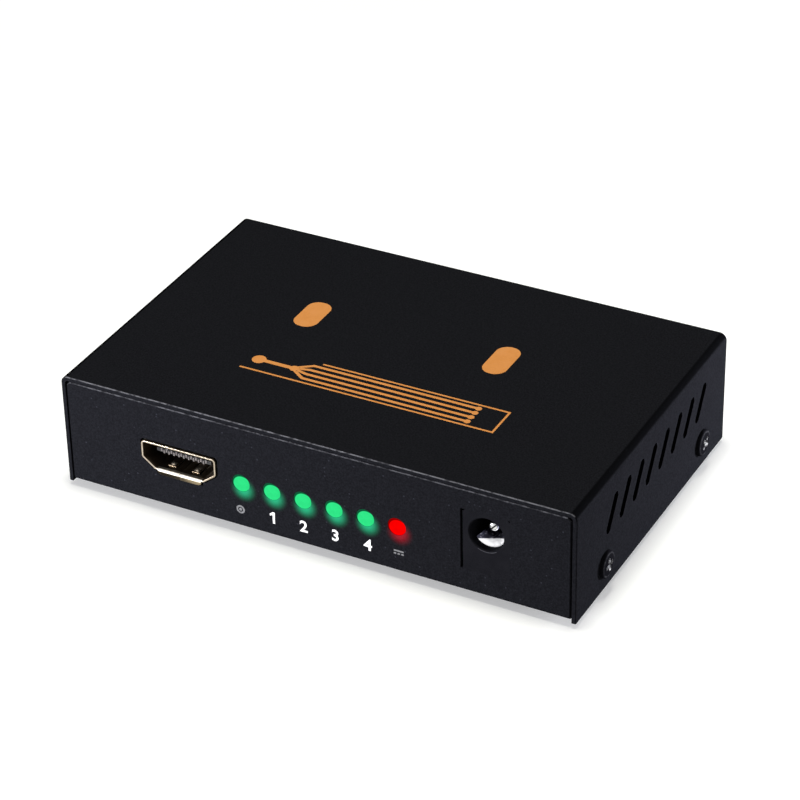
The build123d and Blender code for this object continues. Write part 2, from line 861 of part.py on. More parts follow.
can_place = (can_share * case_width, can_y)
with BuildPart() as capacitor_base:
    with BuildSketch(Plane.XY.offset(board_top)) as base_outline:
        with Locations(can_place):
            Rectangle(can_base_size, can_base_size)
        chamfer(base_outline.vertices().group_by(Axis.Y)[0], length=can_base_chamfer)
    extrude(amount=can_base_height)
finish(capacitor_base.part, "capacitor_base")

with BuildPart() as capacitor_can:
    with BuildSketch(Plane.XY.offset(board_top + can_base_height)):
        with Locations(can_place):
            Circle(can_radius)
    extrude(amount=can_height - can_base_height)
finish(capacitor_can.part, "capacitor_can")


# Crystal can

with BuildPart() as crystal:
    with BuildSketch(Plane.XY.offset(board_top)) as crystal_outline:
        with Locations((crystal_share * case_width, crystal_y)):
            Rectangle(crystal_length, crystal_width)
        chamfer(crystal_outline.vertices(), length=crystal_chamfer)
    extrude(amount=crystal_height)
finish(crystal.part, "crystal")


# Chip capacitors beside the splitter chip, resistors behind the lamps, guards behind the sockets

capacitor_row_y = chip_y + sink_size / 2 + capacitor_clearance
with BuildPart() as chip_capacitors:
    with BuildSketch(Plane.XY.offset(board_top)):
        with Locations((0, capacitor_row_y)):
            with GridLocations(capacitor_pitch, capacitor_pitch, capacitor_count, 1):
                Rectangle(capacitor_width, capacitor_length)
        with Locations((0, chip_y - sink_size / 2 - capacitor_clearance)):
            with GridLocations(capacitor_pitch, capacitor_pitch, capacitor_count, 1):
                Rectangle(capacitor_width, capacitor_length)
    extrude(amount=capacitor_height)
finish(chip_capacitors.part, "chip_capacitors")

with BuildPart() as chip_resistors:
    with BuildSketch(Plane.XY.offset(board_top)):
        with Locations(*[on_board(front, x, resistor_setback) for x in lamp_xs]):
            Rectangle(resistor_width, resistor_length)
    extrude(amount=resistor_height)
finish(chip_resistors.part, "chip_resistors")

with BuildPart() as port_guards:
    with BuildSketch(Plane.XY.offset(board_top)):
        with Locations(*[on_board(mouth, 0, shell_depth + guard_setback) for mouth in sockets.values()]):
            Rectangle(guard_length, guard_width)
    extrude(amount=guard_height)
finish(port_guards.part, "port_guards")
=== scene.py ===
import json
import math

import bmesh
import bpy
from mathutils import Matrix, Vector


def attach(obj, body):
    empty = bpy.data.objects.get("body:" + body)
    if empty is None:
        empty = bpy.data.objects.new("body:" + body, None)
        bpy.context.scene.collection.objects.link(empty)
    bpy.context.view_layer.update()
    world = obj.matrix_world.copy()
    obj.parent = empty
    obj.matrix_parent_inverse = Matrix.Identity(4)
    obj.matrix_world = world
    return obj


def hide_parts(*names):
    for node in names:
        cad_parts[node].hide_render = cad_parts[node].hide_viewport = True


# A four-way video splitter, dressed for rendering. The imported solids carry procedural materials, and the
# lamps, screws, socket shells, the inlet's pin and its leaf contact are replaced by smoother pieces. Printed
# marks lie on the top and on the front panel. Lengths named here are in millimetres.

MM = 0.001

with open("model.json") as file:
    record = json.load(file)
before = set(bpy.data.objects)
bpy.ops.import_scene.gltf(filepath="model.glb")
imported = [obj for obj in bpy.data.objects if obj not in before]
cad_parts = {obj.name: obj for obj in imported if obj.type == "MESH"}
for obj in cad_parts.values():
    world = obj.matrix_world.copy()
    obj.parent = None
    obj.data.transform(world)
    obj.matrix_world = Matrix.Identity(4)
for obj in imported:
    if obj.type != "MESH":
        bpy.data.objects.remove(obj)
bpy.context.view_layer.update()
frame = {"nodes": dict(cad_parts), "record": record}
nodes = frame["nodes"]

# Sizes and places shared with the solids

CASE_WIDTH = 100.0
CASE_DEPTH = 64.2
CASE_TOP = 23.0
BOARD_TOP = 8.4

SOCKET_Z = 11.5
INPUT_X = -26.4
OUTPUT_XS = (-34.5, -11.5, 11.5, 34.5)
SPRING_X = 2.4

LAMP_FIRST_X = -14.0
LAMP_PITCH = 6.1
LAMP_Z = 10.7
LAMP_RADIUS = 1.72
LAMP_NOSE = 0.45
LAMP_LENGTH = 5.2
LAMP_NODES = ("input_lamp", "output_1_lamp", "output_2_lamp", "output_3_lamp", "output_4_lamp", "power_lamp")

# How far the sockets' mouths and the lenses stand out of their panels
PROUD = 0.3

SCREW_YS = (-20.35, 21.55)
SCREW_Z = 6.0

JACK_X = 33.3
JACK_Y = -31.85
JACK_Z = 13.9


# Camera


def add_camera():
    """Creates the camera at the photograph's viewing angle."""
    azimuth = math.radians(28.06)
    elevation = math.radians(32.16)
    roll = math.radians(-1.184)
    distance = 549.0
    target = Vector((0.543, -0.016, 13.57))
    level = math.cos(elevation)
    back = Vector((math.sin(azimuth) * level, -math.cos(azimuth) * level, math.sin(elevation)))
    right = Vector((0, 0, 1)).cross(back).normalized()
    up = back.cross(right)
    tilted_right = math.cos(roll) * right + math.sin(roll) * up
    tilted_up = -math.sin(roll) * right + math.cos(roll) * up
    place = (target + back * distance) * MM
    data = bpy.data.cameras.new("camera")
    data.lens = 138.04
    data.sensor_width = 36.0
    data.clip_start = 0.01
    data.clip_end = 20.0
    camera = bpy.data.objects.new("camera", data)
    camera.matrix_world = Matrix(
        [[tilted_right[i], tilted_up[i], back[i], place[i]] for i in range(3)] + [[0, 0, 0, 1]]
    )
    bpy.context.scene.collection.objects.link(camera)
    bpy.context.scene.camera = camera


add_camera()


# Materials


class Finish:
    """One node material, with short ways to add texture nodes to it."""

    def __init__(self, name, color, roughness, metallic=0.0, specular=0.5):
        self.material = bpy.data.materials.new(name)
        self.material.use_nodes = True
        self.tree = self.material.node_tree
        self.shader = self.tree.nodes["Principled BSDF"]
        self.set("Base Color", (*color, 1.0))
        self.set("Roughness", roughness)
        self.set("Metallic", metallic)
        self.set("Specular IOR Level", specular)
        self.coordinates = self.tree.nodes.new("ShaderNodeTexCoord")
        self.position = self.coordinates.outputs["Object"]

    def set(self, socket, value):
        self.shader.inputs[socket].default_value = value

    def join(self, output, socket):
        self.tree.links.new(output, socket)

    def drive(self, socket, output):
        self.join(output, self.shader.inputs[socket])

    def math(self, operation, first, second=0.0):
        """An operation on one or two values, each an output or a number."""
        node = self.tree.nodes.new("ShaderNodeMath")
        node.operation = operation
        for socket, value in zip(node.inputs, (first, second)):
            if isinstance(value, (int, float)):
                socket.default_value = value
            else:
                self.join(value, socket)
        return node.outputs["Value"]

    def all_of(self, share, *others):
        """The share that is left where several shares apply together."""
        for other in others:
            share = self.math("MULTIPLY", share, other)
        return share

    def size(self, value):
        return self.math("ABSOLUTE", value)

    def distance(self, first, second):
        """The length of a flat step, from its two parts."""
        squares = [self.math("POWER", part, 2.0) for part in (first, second)]
        return self.math("SQRT", self.math("ADD", *squares))

    def spread(self, value, low, high, out_low, out_high, unit=1.0):
        """Maps a value from one range to another, smoothly and within it."""
        node = self.tree.nodes.new("ShaderNodeMapRange")
        node.interpolation_type = "SMOOTHSTEP"
        numbers = {"From Min": low * unit, "From Max": high * unit, "To Min": out_low, "To Max": out_high}
        for name, number in numbers.items():
            node.inputs[name].default_value = number
        self.join(value, node.inputs["Value"])
        return node.outputs["Result"]

    def rise(self, value, low, high, unit=1.0):
        """A share that goes from 0 to 1 as the value passes a range."""
        return self.spread(value, low, high, 0.0, 1.0, unit)

    def fall(self, value, low, high, unit=1.0):
        """A share that goes from 1 to 0 as the value passes a range."""
        return self.spread(value, low, high, 1.0, 0.0, unit)

    def scaled(self, stretch):
        node = self.tree.nodes.new("ShaderNodeMapping")
        node.inputs["Scale"].default_value = stretch
        self.join(self.position, node.inputs["Vector"])
        return node.outputs["Vector"]

    def noise(self, size, detail=2.0, stretch=None):
        """Soft noise whose blobs are about this many millimetres across."""
        node = self.tree.nodes.new("ShaderNodeTexNoise")
        node.inputs["Scale"].default_value = 1 / (size * MM)
        node.inputs["Detail"].default_value = detail
        self.join(self.scaled(stretch) if stretch else self.position, node.inputs["Vector"])
        return node.outputs["Fac"]

    def cells(self, size):
        """Cells about this many millimetres across, as a distance from their middles and a colour each."""
        node = self.tree.nodes.new("ShaderNodeTexVoronoi")
        node.inputs["Scale"].default_value = 1 / (size * MM)
        self.join(self.position, node.inputs["Vector"])
        return node.outputs["Distance"], node.outputs["Color"]

    def blend(self, share, first, second):
        """A colour between two, each an output or plain numbers."""
        node = self.tree.nodes.new("ShaderNodeMix")
        node.data_type = "RGBA"
        colors = [socket for socket in node.inputs if socket.type == "RGBA"]
        for socket, value in zip(colors, (first, second)):
            if isinstance(value, tuple):
                socket.default_value = (*value, 1.0)
            else:
                self.join(value, socket)
        self.join(share, node.inputs[0])
        return [socket for socket in node.outputs if socket.type == "RGBA"][0]

    def axes(self, vector):
        node = self.tree.nodes.new("ShaderNodeSeparateXYZ")
        self.join(vector, node.inputs["Vector"])
        return node.outputs["X"], node.outputs["Y"], node.outputs["Z"]

    def bump(self, height, depth, strength, under=None):
        """Adds relief this many millimetres deep, over another relief if there is one."""
        node = self.tree.nodes.new("ShaderNodeBump")
        node.inputs["Distance"].default_value = depth * MM
        node.inputs["Strength"].default_value = strength
        self.join(height, node.inputs["Height"])
        if under:
            self.join(under, node.inputs["Normal"])
        self.drive("Normal", node.outputs["Normal"])
        return node.outputs["Normal"]


def add_lamp_glow(finish, place_x, place_y, place_z):
    """Paints a glow as emission on the front panel round and below each lamp, green for all but the last,
    which is red.
    """
    green, red = (0.014, 0.50, 0.225), (0.40, 0.0, 0.009)
    glow_aside, glow_below = 0.5, 1.15
    core, reach, falloff = 0.3, 3.1, 1.7
    last = len(LAMP_NODES) - 1

    aside = finish.math("SUBTRACT", place_x, (LAMP_FIRST_X + glow_aside) * MM)
    step = finish.math("DIVIDE", aside, LAMP_PITCH * MM)
    nearest = finish.math("SUBTRACT", step, finish.math("ROUND", step))
    along = finish.math("MULTIPLY", nearest, LAMP_PITCH)
    above = finish.math("DIVIDE", finish.math("SUBTRACT", place_z, (LAMP_Z - glow_below) * MM), MM)
    halo = finish.fall(finish.distance(along, above), core, reach)
    glow = finish.all_of(
        finish.math("POWER", halo, falloff),
        finish.fall(place_y, -32.05, -31.95, MM),
        finish.rise(step, -0.6, -0.4),
        finish.fall(step, last + 0.4, last + 0.6),
    )
    is_last = finish.rise(step, last - 0.55, last - 0.45)
    finish.drive("Emission Color", finish.blend(is_last, green, red))
    finish.drive("Emission Strength", glow)


def powder_coat():
    """Black textured powder coat: a fine grain, sparse pale specks, painted shade on the bends, a painted
    highlight broken up by noise along the upper sheet edges at both ends, painted shade on the vent walls and
    a painted glow of the lamps on the front panel."""
    dark, light, speck = (0.0074, 0.0076, 0.0094), (0.0126, 0.0129, 0.0160), (0.042, 0.043, 0.056)
    # A painted shade tone for the bends, a painted highlight tone for the upper edges, and a painted shade
    # tone for the vent walls
    bend_shade_tone, bare, vent_shade_tone = (0.0018, 0.0019, 0.0023), (0.135, 0.135, 0.15), (0.0012, 0.0012, 0.0015)

    finish = Finish("case_coat", (0.007, 0.0071, 0.0091), 0.55, specular=0.0)
    normal_x, normal_y, normal_z = finish.axes(finish.coordinates.outputs["Normal"])
    place_x, place_y, place_z = finish.axes(finish.position)
    to_side = finish.size(normal_x)
    upward = finish.math("MAXIMUM", normal_z, 0.0)
    off_middle = finish.size(place_y)

    grain = finish.noise(0.28, detail=3.0)
    tone = finish.blend(finish.rise(grain, 0.3, 0.7), dark, light)

    speck_distance, speck_color = finish.cells(0.95)
    chosen, _, _ = finish.axes(speck_color)
    specks = finish.all_of(
        finish.fall(speck_distance, 0.10, 0.22),
        finish.rise(chosen, 0.80, 0.86),
        finish.spread(upward, 0.4, 0.8, 0.5, 0.08),
    )
    tone = finish.blend(specks, tone, speck)

    # Painted shade on the bends between the top and the sides
    bend_shade_share = finish.all_of(
        finish.rise(to_side, 0.04, 0.22),
        finish.fall(to_side, 0.8, 0.97),
        finish.spread(upward, 0.1, 0.3, 0.0, 0.9),
    )
    tone = finish.blend(bend_shade_share, tone, bend_shade_tone)

    # A painted highlight on the upward-facing chamfers of the front and back upper edges, broken up by noise
    slant = finish.math("MULTIPLY", upward, finish.size(normal_y))
    worn = finish.all_of(
        finish.rise(slant, 0.3, 0.45),
        finish.rise(off_middle, 31.9, 31.96, MM),
        finish.spread(finish.noise(0.9, detail=3.0), 0.35, 0.62, 0.15, 0.9),
    )
    tone = finish.blend(worn, tone, bare)

    # Painted shade on the walls inside the vent slots
    vent_shade_share = finish.all_of(
        finish.rise(finish.size(place_x), 48.9, 49.0, MM),
        finish.fall(to_side, 0.6, 0.9),
        finish.fall(off_middle, 28, 29, MM),
        finish.fall(place_z, 20, 20.5, MM),
    )
    finish.drive("Base Color", finish.blend(vent_shade_share, tone, vent_shade_tone))

    cloud = finish.noise(9.0)
    finish.drive("Roughness", finish.spread(finish.math("ADD", cloud, grain), 0.7, 1.3, 0.48, 0.64))
    add_lamp_glow(finish, place_x, place_y, place_z)
    pebble, _ = finish.cells(0.42)
    relief = finish.bump(pebble, 0.035, 0.55)
    finish.bump(grain, 0.03, 0.5, under=relief)
    return finish.material


def gold_plate():
    """Warm gold plate on formed sheet: plain gold at the rim, painted highlights on the rolled lip and the
    tops of the springs, painted shade on the flange below the lip, darkest towards its left end, and painted
    shade elsewhere."""
    # The gold's own tones, and a painted highlight tone
    plain, clouded, bright = (0.54, 0.465, 0.37), (0.40, 0.33, 0.25), (0.94, 0.88, 0.76)
    # Painted shade tones: for all but the rim, lip and spring tops, for the flange, and for the flange's
    # darkest part
    dull, flange_shade_gold, flange_shade_dark = (0.28, 0.215, 0.145), (0.42, 0.33, 0.20), (0.014, 0.011, 0.007)

    finish = Finish("socket_gold", (0.60, 0.52, 0.42), 0.3, metallic=1.0)
    brush = finish.noise(0.12, detail=3.0, stretch=(6.0, 6.0, 0.35))
    cloud = finish.noise(2.2, detail=4.0)
    blotch = finish.noise(0.55, detail=4.0, stretch=(0.5, 1.6, 1.0))
    across, height, out = finish.axes(finish.position)
    aside = finish.size(across)

    rim = finish.rise(out, -0.16, -0.06, MM)
    lip = finish.all_of(
        finish.rise(out, -0.95, -0.80, MM),
        finish.fall(height, -2.30, -2.20, MM),
        finish.fall(aside, 4.4, 4.9, MM),
    )
    off_spring = finish.size(finish.math("SUBTRACT", aside, SPRING_X * MM))
    spring_top = finish.all_of(
        finish.rise(height, -2.31, -2.20, MM),
        finish.fall(height, -1.95, -1.85, MM),
        finish.rise(out, -3.1, -2.9, MM),
        finish.fall(out, -2.05, -1.9, MM),
        finish.fall(off_spring, 0.45, 0.6, MM),
    )
    # The rim keeps the gold's own tones, the lip and the spring tops get a painted highlight, and all else a
    # painted shade
    shiny = finish.math("MAXIMUM", finish.math("MAXIMUM", rim, lip), spring_top)
    tone = finish.blend(finish.rise(cloud, 0.35, 0.7), plain, clouded)
    tone = finish.blend(finish.math("MAXIMUM", lip, spring_top), tone, bright)
    tone = finish.blend(shiny, dull, tone)

    # Painted shade on the flange below the lip, darker still in blotches towards its left end
    flange = finish.fall(height, -2.98, -2.86, MM)
    patchy = finish.math("ADD", across, finish.math("MULTIPLY", blotch, 6.0 * MM))
    flange_shade = finish.math("MULTIPLY", flange, finish.spread(patchy, 1.5, 7.0, 1.0, 0.5, MM))
    tone = finish.blend(flange, tone, flange_shade_gold)
    finish.drive("Base Color", finish.blend(flange_shade, tone, flange_shade_dark))
    finish.drive("Roughness", finish.spread(finish.math("ADD", cloud, flange_shade), 0.3, 1.6, 0.28, 0.55))
    finish.bump(brush, 0.004, 0.2)
    return finish.material


def leaf_plate():
    """Nickel with a painted highlight below a slanting line, pale and with a faint painted glow, as bright as
    the photograph shows it, and painted shade above the line, dark with a grey mottle."""
    # A painted shade tone, a grey for its mottle, a painted highlight tone and a painted glow colour
    dark, grey, bright, painted_glow = (0.07, 0.07, 0.10), (0.55, 0.55, 0.64), (0.98, 0.98, 0.98), (0.9, 0.9, 0.92)

    finish = Finish("leaf_metal", (0.9, 0.9, 0.9), 0.3, metallic=1.0)
    mottle = finish.noise(0.45, detail=4.0)
    across, up, out = finish.axes(finish.position)
    line = finish.math("ADD", finish.math("MULTIPLY", across, 0.30), finish.math("MULTIPLY", out, 0.64))
    # The share below the slanting line, which takes the painted highlight and glow; above it lies painted
    # shade
    rubbed = finish.rise(finish.math("SUBTRACT", line, up), 0.50, 0.70, MM)
    shaded_mottle = finish.blend(finish.spread(mottle, 0.5, 0.68, 0.0, 0.7), dark, grey)
    finish.drive("Base Color", finish.blend(rubbed, shaded_mottle, bright))
    finish.drive("Roughness", finish.spread(mottle, 0.3, 0.7, 0.3, 0.45))
    finish.drive("Emission Color", finish.blend(rubbed, (0.0, 0.0, 0.0), painted_glow))
    finish.drive("Emission Strength", finish.math("MULTIPLY", rubbed, 0.5))
    finish.bump(mottle, 0.008, 0.3)
    return finish.material


def plated(name, color, dull, roughness, rough_end, grain=0.3, stretch=None):
    """Bright plated metal with soft stains and fine drawing lines."""
    finish = Finish(name, color, roughness, metallic=1.0)
    cloud = finish.noise(1.6, detail=3.0)
    lines = finish.noise(grain, stretch=stretch)
    finish.drive("Base Color", finish.blend(finish.rise(cloud, 0.35, 0.7), color, dull))
    finish.drive("Roughness", finish.spread(cloud, 0.3, 0.7, roughness, rough_end))
    finish.bump(lines, 0.008, 0.35)
    return finish.material


def moulded(name, color, light, roughness, rough_end, depth=0.02, specular=0.3):
    """Moulded plastic, resin or rubber with a fine spark texture."""
    finish = Finish(name, color, roughness, specular=specular)
    spark = finish.noise(0.18, detail=3.0)
    cloud = finish.noise(4.0)
    share = finish.rise(finish.math("ADD", spark, cloud), 0.75, 1.25)
    finish.drive("Base Color", finish.blend(share, color, light))
    finish.drive("Roughness", finish.spread(cloud, 0.3, 0.7, roughness, rough_end))
    finish.bump(spark, depth, 0.4)
    return finish.material


def board_mask():
    """Green solder mask over faint straight tracks."""
    mask, over_track = (0.007, 0.04, 0.02), (0.02, 0.1, 0.05)

    finish = Finish("board_laminate", (0.008, 0.045, 0.022), 0.35, specular=0.4)
    bricks = finish.tree.nodes.new("ShaderNodeTexBrick")
    bricks.inputs["Scale"].default_value = 1 / (3.2 * MM)
    bricks.inputs["Mortar Size"].default_value = 0.06
    for socket, level in (("Color1", 0.0), ("Color2", 0.15), ("Mortar", 1.0)):
        bricks.inputs[socket].default_value = (level, level, level, 1.0)
    finish.join(finish.position, bricks.inputs["Vector"])
    faded = finish.spread(finish.noise(5.0), 0.4, 0.6, 0.2, 1.0)
    tracks = finish.math("MULTIPLY", bricks.outputs["Color"], faded)
    finish.drive("Base Color", finish.blend(tracks, mask, over_track))
    finish.drive("Roughness", finish.spread(finish.noise(2.5), 0.3, 0.7, 0.28, 0.42))
    finish.bump(tracks, 0.03, 0.5)
    return finish.material


def gloss_black():
    """Black screw finish with fine turning marks, a painted highlight ring round the head's shoulder, and bare
    bright metal on the walls of the recess."""
    dark, light = (0.0065, 0.0065, 0.0085), (0.014, 0.014, 0.017)
    # A painted highlight tone for the ring, and the bare metal of the recess
    worn, bright = (0.042, 0.042, 0.048), (0.7, 0.7, 0.72)

    finish = Finish("black_screw", (0.007, 0.007, 0.009), 0.22, specular=0.0)
    turning = finish.noise(0.16, stretch=(1.0, 1.0, 5.0))
    rubbed = finish.noise(0.5, detail=4.0)
    across_x, across_y, out = finish.axes(finish.position)
    radius = finish.distance(across_x, across_y)
    _, _, normal_out = finish.axes(finish.coordinates.outputs["Normal"])
    bare = finish.all_of(
        finish.fall(radius, 1.5, 1.65, MM),
        finish.rise(out, 0.2, 0.3, MM),
        finish.fall(normal_out, 0.6, 0.8),
        finish.spread(rubbed, 0.4, 0.55, 0.1, 1.0),
    )
    # A painted highlight ring round the head's shoulder, broken up by noise
    ring = finish.all_of(
        finish.rise(radius, 1.95, 2.1, MM),
        finish.fall(radius, 2.2, 2.35, MM),
        finish.spread(rubbed, 0.4, 0.6, 0.2, 1.0),
    )
    tone = finish.blend(finish.spread(rubbed, 0.55, 0.75, 0.0, 0.6), dark, light)
    tone = finish.blend(ring, tone, worn)
    finish.drive("Base Color", finish.blend(bare, tone, bright))
    finish.drive("Metallic", bare)
    finish.drive("Roughness", finish.spread(rubbed, 0.35, 0.7, 0.16, 0.36))
    finish.bump(turning, 0.012, 0.35)
    return finish.material


def lit_lens(name, glow, rim, body):
    """A lit diffused lamp: an even, slightly milky glow, and a painted shade crescent at the upper left of its
    rim.
    """
    crescent_x, crescent_y = 0.24, -0.14
    crescent_from, crescent_to = 1.54, 1.66

    finish = Finish(name, body, 0.4, specular=0.0)
    across_x, across_y, _ = finish.axes(finish.position)
    aside = finish.math("DIVIDE", finish.math("SUBTRACT", across_x, crescent_x * MM), MM)
    above = finish.math("DIVIDE", finish.math("SUBTRACT", across_y, crescent_y * MM), MM)
    # A painted shade crescent at the upper left of the rim
    crescent = finish.rise(finish.distance(aside, above), crescent_from, crescent_to)
    milky = finish.spread(finish.noise(1.1, detail=3.0), 0.3, 0.7, 0.0, 0.1)
    share = finish.math("MAXIMUM", crescent, milky)
    finish.drive("Base Color", finish.blend(share, body, tuple(c * 0.6 for c in body)))
    finish.drive("Emission Color", finish.blend(share, glow, rim))
    finish.set("Emission Strength", 1.0)
    finish.bump(finish.noise(0.35), 0.01, 0.2)
    return finish.material


def ink(name, color, worn):
    """Screen-printed ink: slightly uneven cover with a fine edge of wear."""
    finish = Finish(name, color, 0.5, specular=0.25)
    cover = finish.noise(0.35, detail=4.0)
    cloud = finish.noise(3.0)
    share = finish.spread(finish.math("ADD", cover, cloud), 0.85, 1.35, 0.0, 0.55)
    finish.drive("Base Color", finish.blend(share, color, worn))
    finish.drive("Roughness", finish.spread(cloud, 0.3, 0.7, 0.42, 0.58))
    finish.bump(cover, 0.01, 0.3)
    return finish.material


# Plated metals: colour, stained colour, least and most roughness, and a grain size and stretch of their own
PLATED = {
    "zinc_steel": ((0.58, 0.59, 0.61), (0.45, 0.46, 0.47), 0.25, 0.4),
    "contact_metal": ((0.21, 0.195, 0.195), (0.13, 0.115, 0.115), 0.36, 0.54, 0.1),
    "jack_metal": ((0.78, 0.78, 0.77), (0.62, 0.62, 0.62), 0.12, 0.24),
    "tinned_lead": ((0.62, 0.62, 0.62), (0.48, 0.48, 0.47), 0.3, 0.45),
    "sink_aluminium": ((0.62, 0.62, 0.64), (0.5, 0.5, 0.52), 0.32, 0.5, 0.3, (8.0, 0.4, 8.0)),
    "can_aluminium": ((0.70, 0.70, 0.72), (0.58, 0.58, 0.6), 0.28, 0.42),
    "crystal_steel": ((0.62, 0.62, 0.62), (0.5, 0.5, 0.5), 0.26, 0.4),
}

# Moulded materials: colour, lighter colour, least and most roughness, and a relief and gloss of their own
MOULDED = {
    "foot_rubber": ((0.018, 0.018, 0.018), (0.03, 0.03, 0.03), 0.75, 0.9, 0.04),
    "socket_insulator": ((0.012, 0.012, 0.013), (0.02, 0.02, 0.021), 0.42, 0.6),
    "jack_plastic": ((0.0088, 0.0089, 0.0112), (0.0120, 0.0121, 0.0148), 0.38, 0.5, 0.02, 0.0),
    "chip_resin": ((0.016, 0.016, 0.017), (0.03, 0.03, 0.03), 0.5, 0.65),
    "pad_silicone": ((0.33, 0.38, 0.48), (0.40, 0.45, 0.55), 0.7, 0.85),
    "coil_ferrite": ((0.05, 0.05, 0.055), (0.085, 0.085, 0.09), 0.55, 0.75),
    "ceramic_tan": ((0.33, 0.205, 0.11), (0.42, 0.27, 0.155), 0.45, 0.6),
}

# The material of each slot in the record
MATERIALS = {
    "case_coat": powder_coat(),
    "black_screw": gloss_black(),
    "board_laminate": board_mask(),
    "socket_gold": gold_plate(),
    # Each lamp's glow, the colour of the painted shade crescent at its rim, and its body colour
    "lamp_green": lit_lens("lamp_green", (0.026, 0.80, 0.235), (0.001, 0.07, 0.025), (0.004, 0.03, 0.015)),
    "lamp_red": lit_lens("lamp_red", (1.0, 0.0, 0.0), (0.25, 0.0, 0.0), (0.02, 0.0, 0.0)),
}
MATERIALS.update({name: plated(name, *looks) for name, looks in PLATED.items()})
MATERIALS.update({name: moulded(name, *looks) for name, looks in MOULDED.items()})

# Materials that only pieces made here have
LEAF_NICKEL = leaf_plate()
INK_ORANGE = ink("ink_orange", (0.66, 0.255, 0.052), (0.58, 0.215, 0.042))
INK_WHITE = ink("ink_white", (0.92, 0.92, 0.92), (0.75, 0.75, 0.76))
INK_GREY = ink("ink_grey", (0.19, 0.19, 0.20), (0.12, 0.12, 0.125))
# A painted highlight: the pale arc on the lower rim of the inlet's bore
RIM_HIGHLIGHT_GREY = ink("rim_highlight_grey", (0.05, 0.05, 0.062), (0.014, 0.014, 0.018))

for part in frame["record"]["subparts"]:
    solid = nodes[part["node"]]
    if not solid.material_slots:
        solid.data.materials.append(None)
    for place in solid.material_slots:
        place.material = MATERIALS[part["material_slot"]]


# Pieces: each is made in its own place, X across, Y up and Z out of the face that carries it


def facing(origin, across, up):
    """The placing matrix of a face, from its origin in millimetres and its two directions."""
    across = Vector(across)
    up = Vector(up)
    out = across.cross(up)
    return Matrix(
        [[across[i], up[i], out[i], origin[i] * MM] for i in range(3)] + [[0, 0, 0, 1]]
    )


def on_front(x, z, proud=0.0):
    return facing((x, -CASE_DEPTH / 2 - proud, z), (1, 0, 0), (0, 0, 1))


def on_back(x, z, proud):
    return facing((x, CASE_DEPTH / 2 + proud, z), (-1, 0, 0), (0, 0, 1))


def on_top(above=0.0):
    """The middle of the top, or this far above it. Marks there are drawn with the case's own X and Y."""
    return facing((0, 0, CASE_TOP + above), (1, 0, 0), (0, 1, 0))


def add_piece(name, mesh, place, slot, material=None, replaced=()):
    """Links a mesh as a piece of the object that rides on its one body, in its slot's material or another."""
    piece = bpy.data.objects.new(name, mesh)
    piece.matrix_world = place
    bpy.context.scene.collection.objects.link(piece)
    piece.data.materials.clear()
    piece.data.materials.append(material or MATERIALS[slot])
    for node in replaced:
        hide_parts(node)
    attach(piece, "root")


def shaded(mesh, sharp):
    """The mesh, smooth with creases at edges sharper than this many degrees."""
    mesh.polygons.foreach_set("use_smooth", [True] * len(mesh.polygons))
    mesh.set_sharp_from_angle(angle=math.radians(sharp))
    return mesh


def to_mesh(form, name, sharp=40.0):
    """Turns a bmesh into a smooth mesh with sharp creases."""
    bmesh.ops.recalc_face_normals(form, faces=form.faces)
    mesh = bpy.data.meshes.new(name)
    form.to_mesh(mesh)
    form.free()
    return shaded(mesh, sharp)


def to_form(mesh):
    """A bmesh that starts from a mesh."""
    form = bmesh.new()
    form.from_mesh(mesh)
    return form


def add_scratch(name, data):
    """An object that stands in the scene only while a mesh is worked out with it."""
    scratch = bpy.data.objects.new(name, data)
    bpy.context.scene.collection.objects.link(scratch)
    return scratch


def worked_out(scratch):
    """The final mesh of a scratch object, which is then removed."""
    view = bpy.context.evaluated_depsgraph_get()
    mesh = bpy.data.meshes.new_from_object(scratch.evaluated_get(view))
    bpy.data.objects.remove(scratch)
    return mesh


def modified(mesh, modifiers, sharp):
    """The mesh with modifiers applied, each given as a type and its settings."""
    scratch = add_scratch("scratch", mesh)
    for kind, settings in modifiers:
        modifier = scratch.modifiers.new(kind.lower(), kind)
        for key, value in settings.items():
            setattr(modifier, key, value)
    return shaded(worked_out(scratch), sharp)


def prism(form, first, second):
    """Adds a closed form between two rings of points, in millimetres."""
    rings = [[form.verts.new([part * MM for part in point]) for point in ring] for ring in (first, second)]
    start, end = rings
    form.faces.new(start)
    form.faces.new(end)
    for i in range(len(start)):
        j = (i + 1) % len(start)
        form.faces.new([start[i], start[j], end[j], end[i]])


def strip(form, first, second):
    """Adds the faces between two rows of points."""
    for i in range(len(first) - 1):
        form.faces.new([first[i], first[i + 1], second[i + 1], second[i]])


def quarter_turn(steps):
    """The turns that divide a right angle into equal steps, both ends included."""
    return [math.pi / 2 * i / steps for i in range(steps + 1)]


def lathe(profile, segments):
    """A turned form from (out, radius) points, in millimetres, round the Z axis."""
    form = bmesh.new()
    rings = []
    for out, radius in profile:
        if radius == 0:
            rings.append([form.verts.new((0, 0, out * MM))])
            continue
        turns = [2 * math.pi * i / segments for i in range(segments)]
        rings.append(
            [form.verts.new((radius * MM * math.cos(t), radius * MM * math.sin(t), out * MM)) for t in turns]
        )
    for first, second in zip(rings, rings[1:]):
        for i in range(segments):
            j = (i + 1) % segments
            corners = [
                first[i % len(first)], first[j % len(first)], second[j % len(second)], second[i % len(second)]
            ]
            unique = list(dict.fromkeys(corners))
            if len(unique) > 2:
                form.faces.new(unique)
    return form


def block(form, low, high):
    """Adds a box to a form, between two corners in millimetres."""
    for vert in bmesh.ops.create_cube(form, size=1.0)["verts"]:
        for axis in range(3):
            vert.co[axis] = (low[axis] if vert.co[axis] < 0 else high[axis]) * MM


def turned(form, angle):
    """The form, turned round the Z axis."""
    bmesh.ops.rotate(form, verts=form.verts, matrix=Matrix.Rotation(angle, 3, "Z"))
    return form


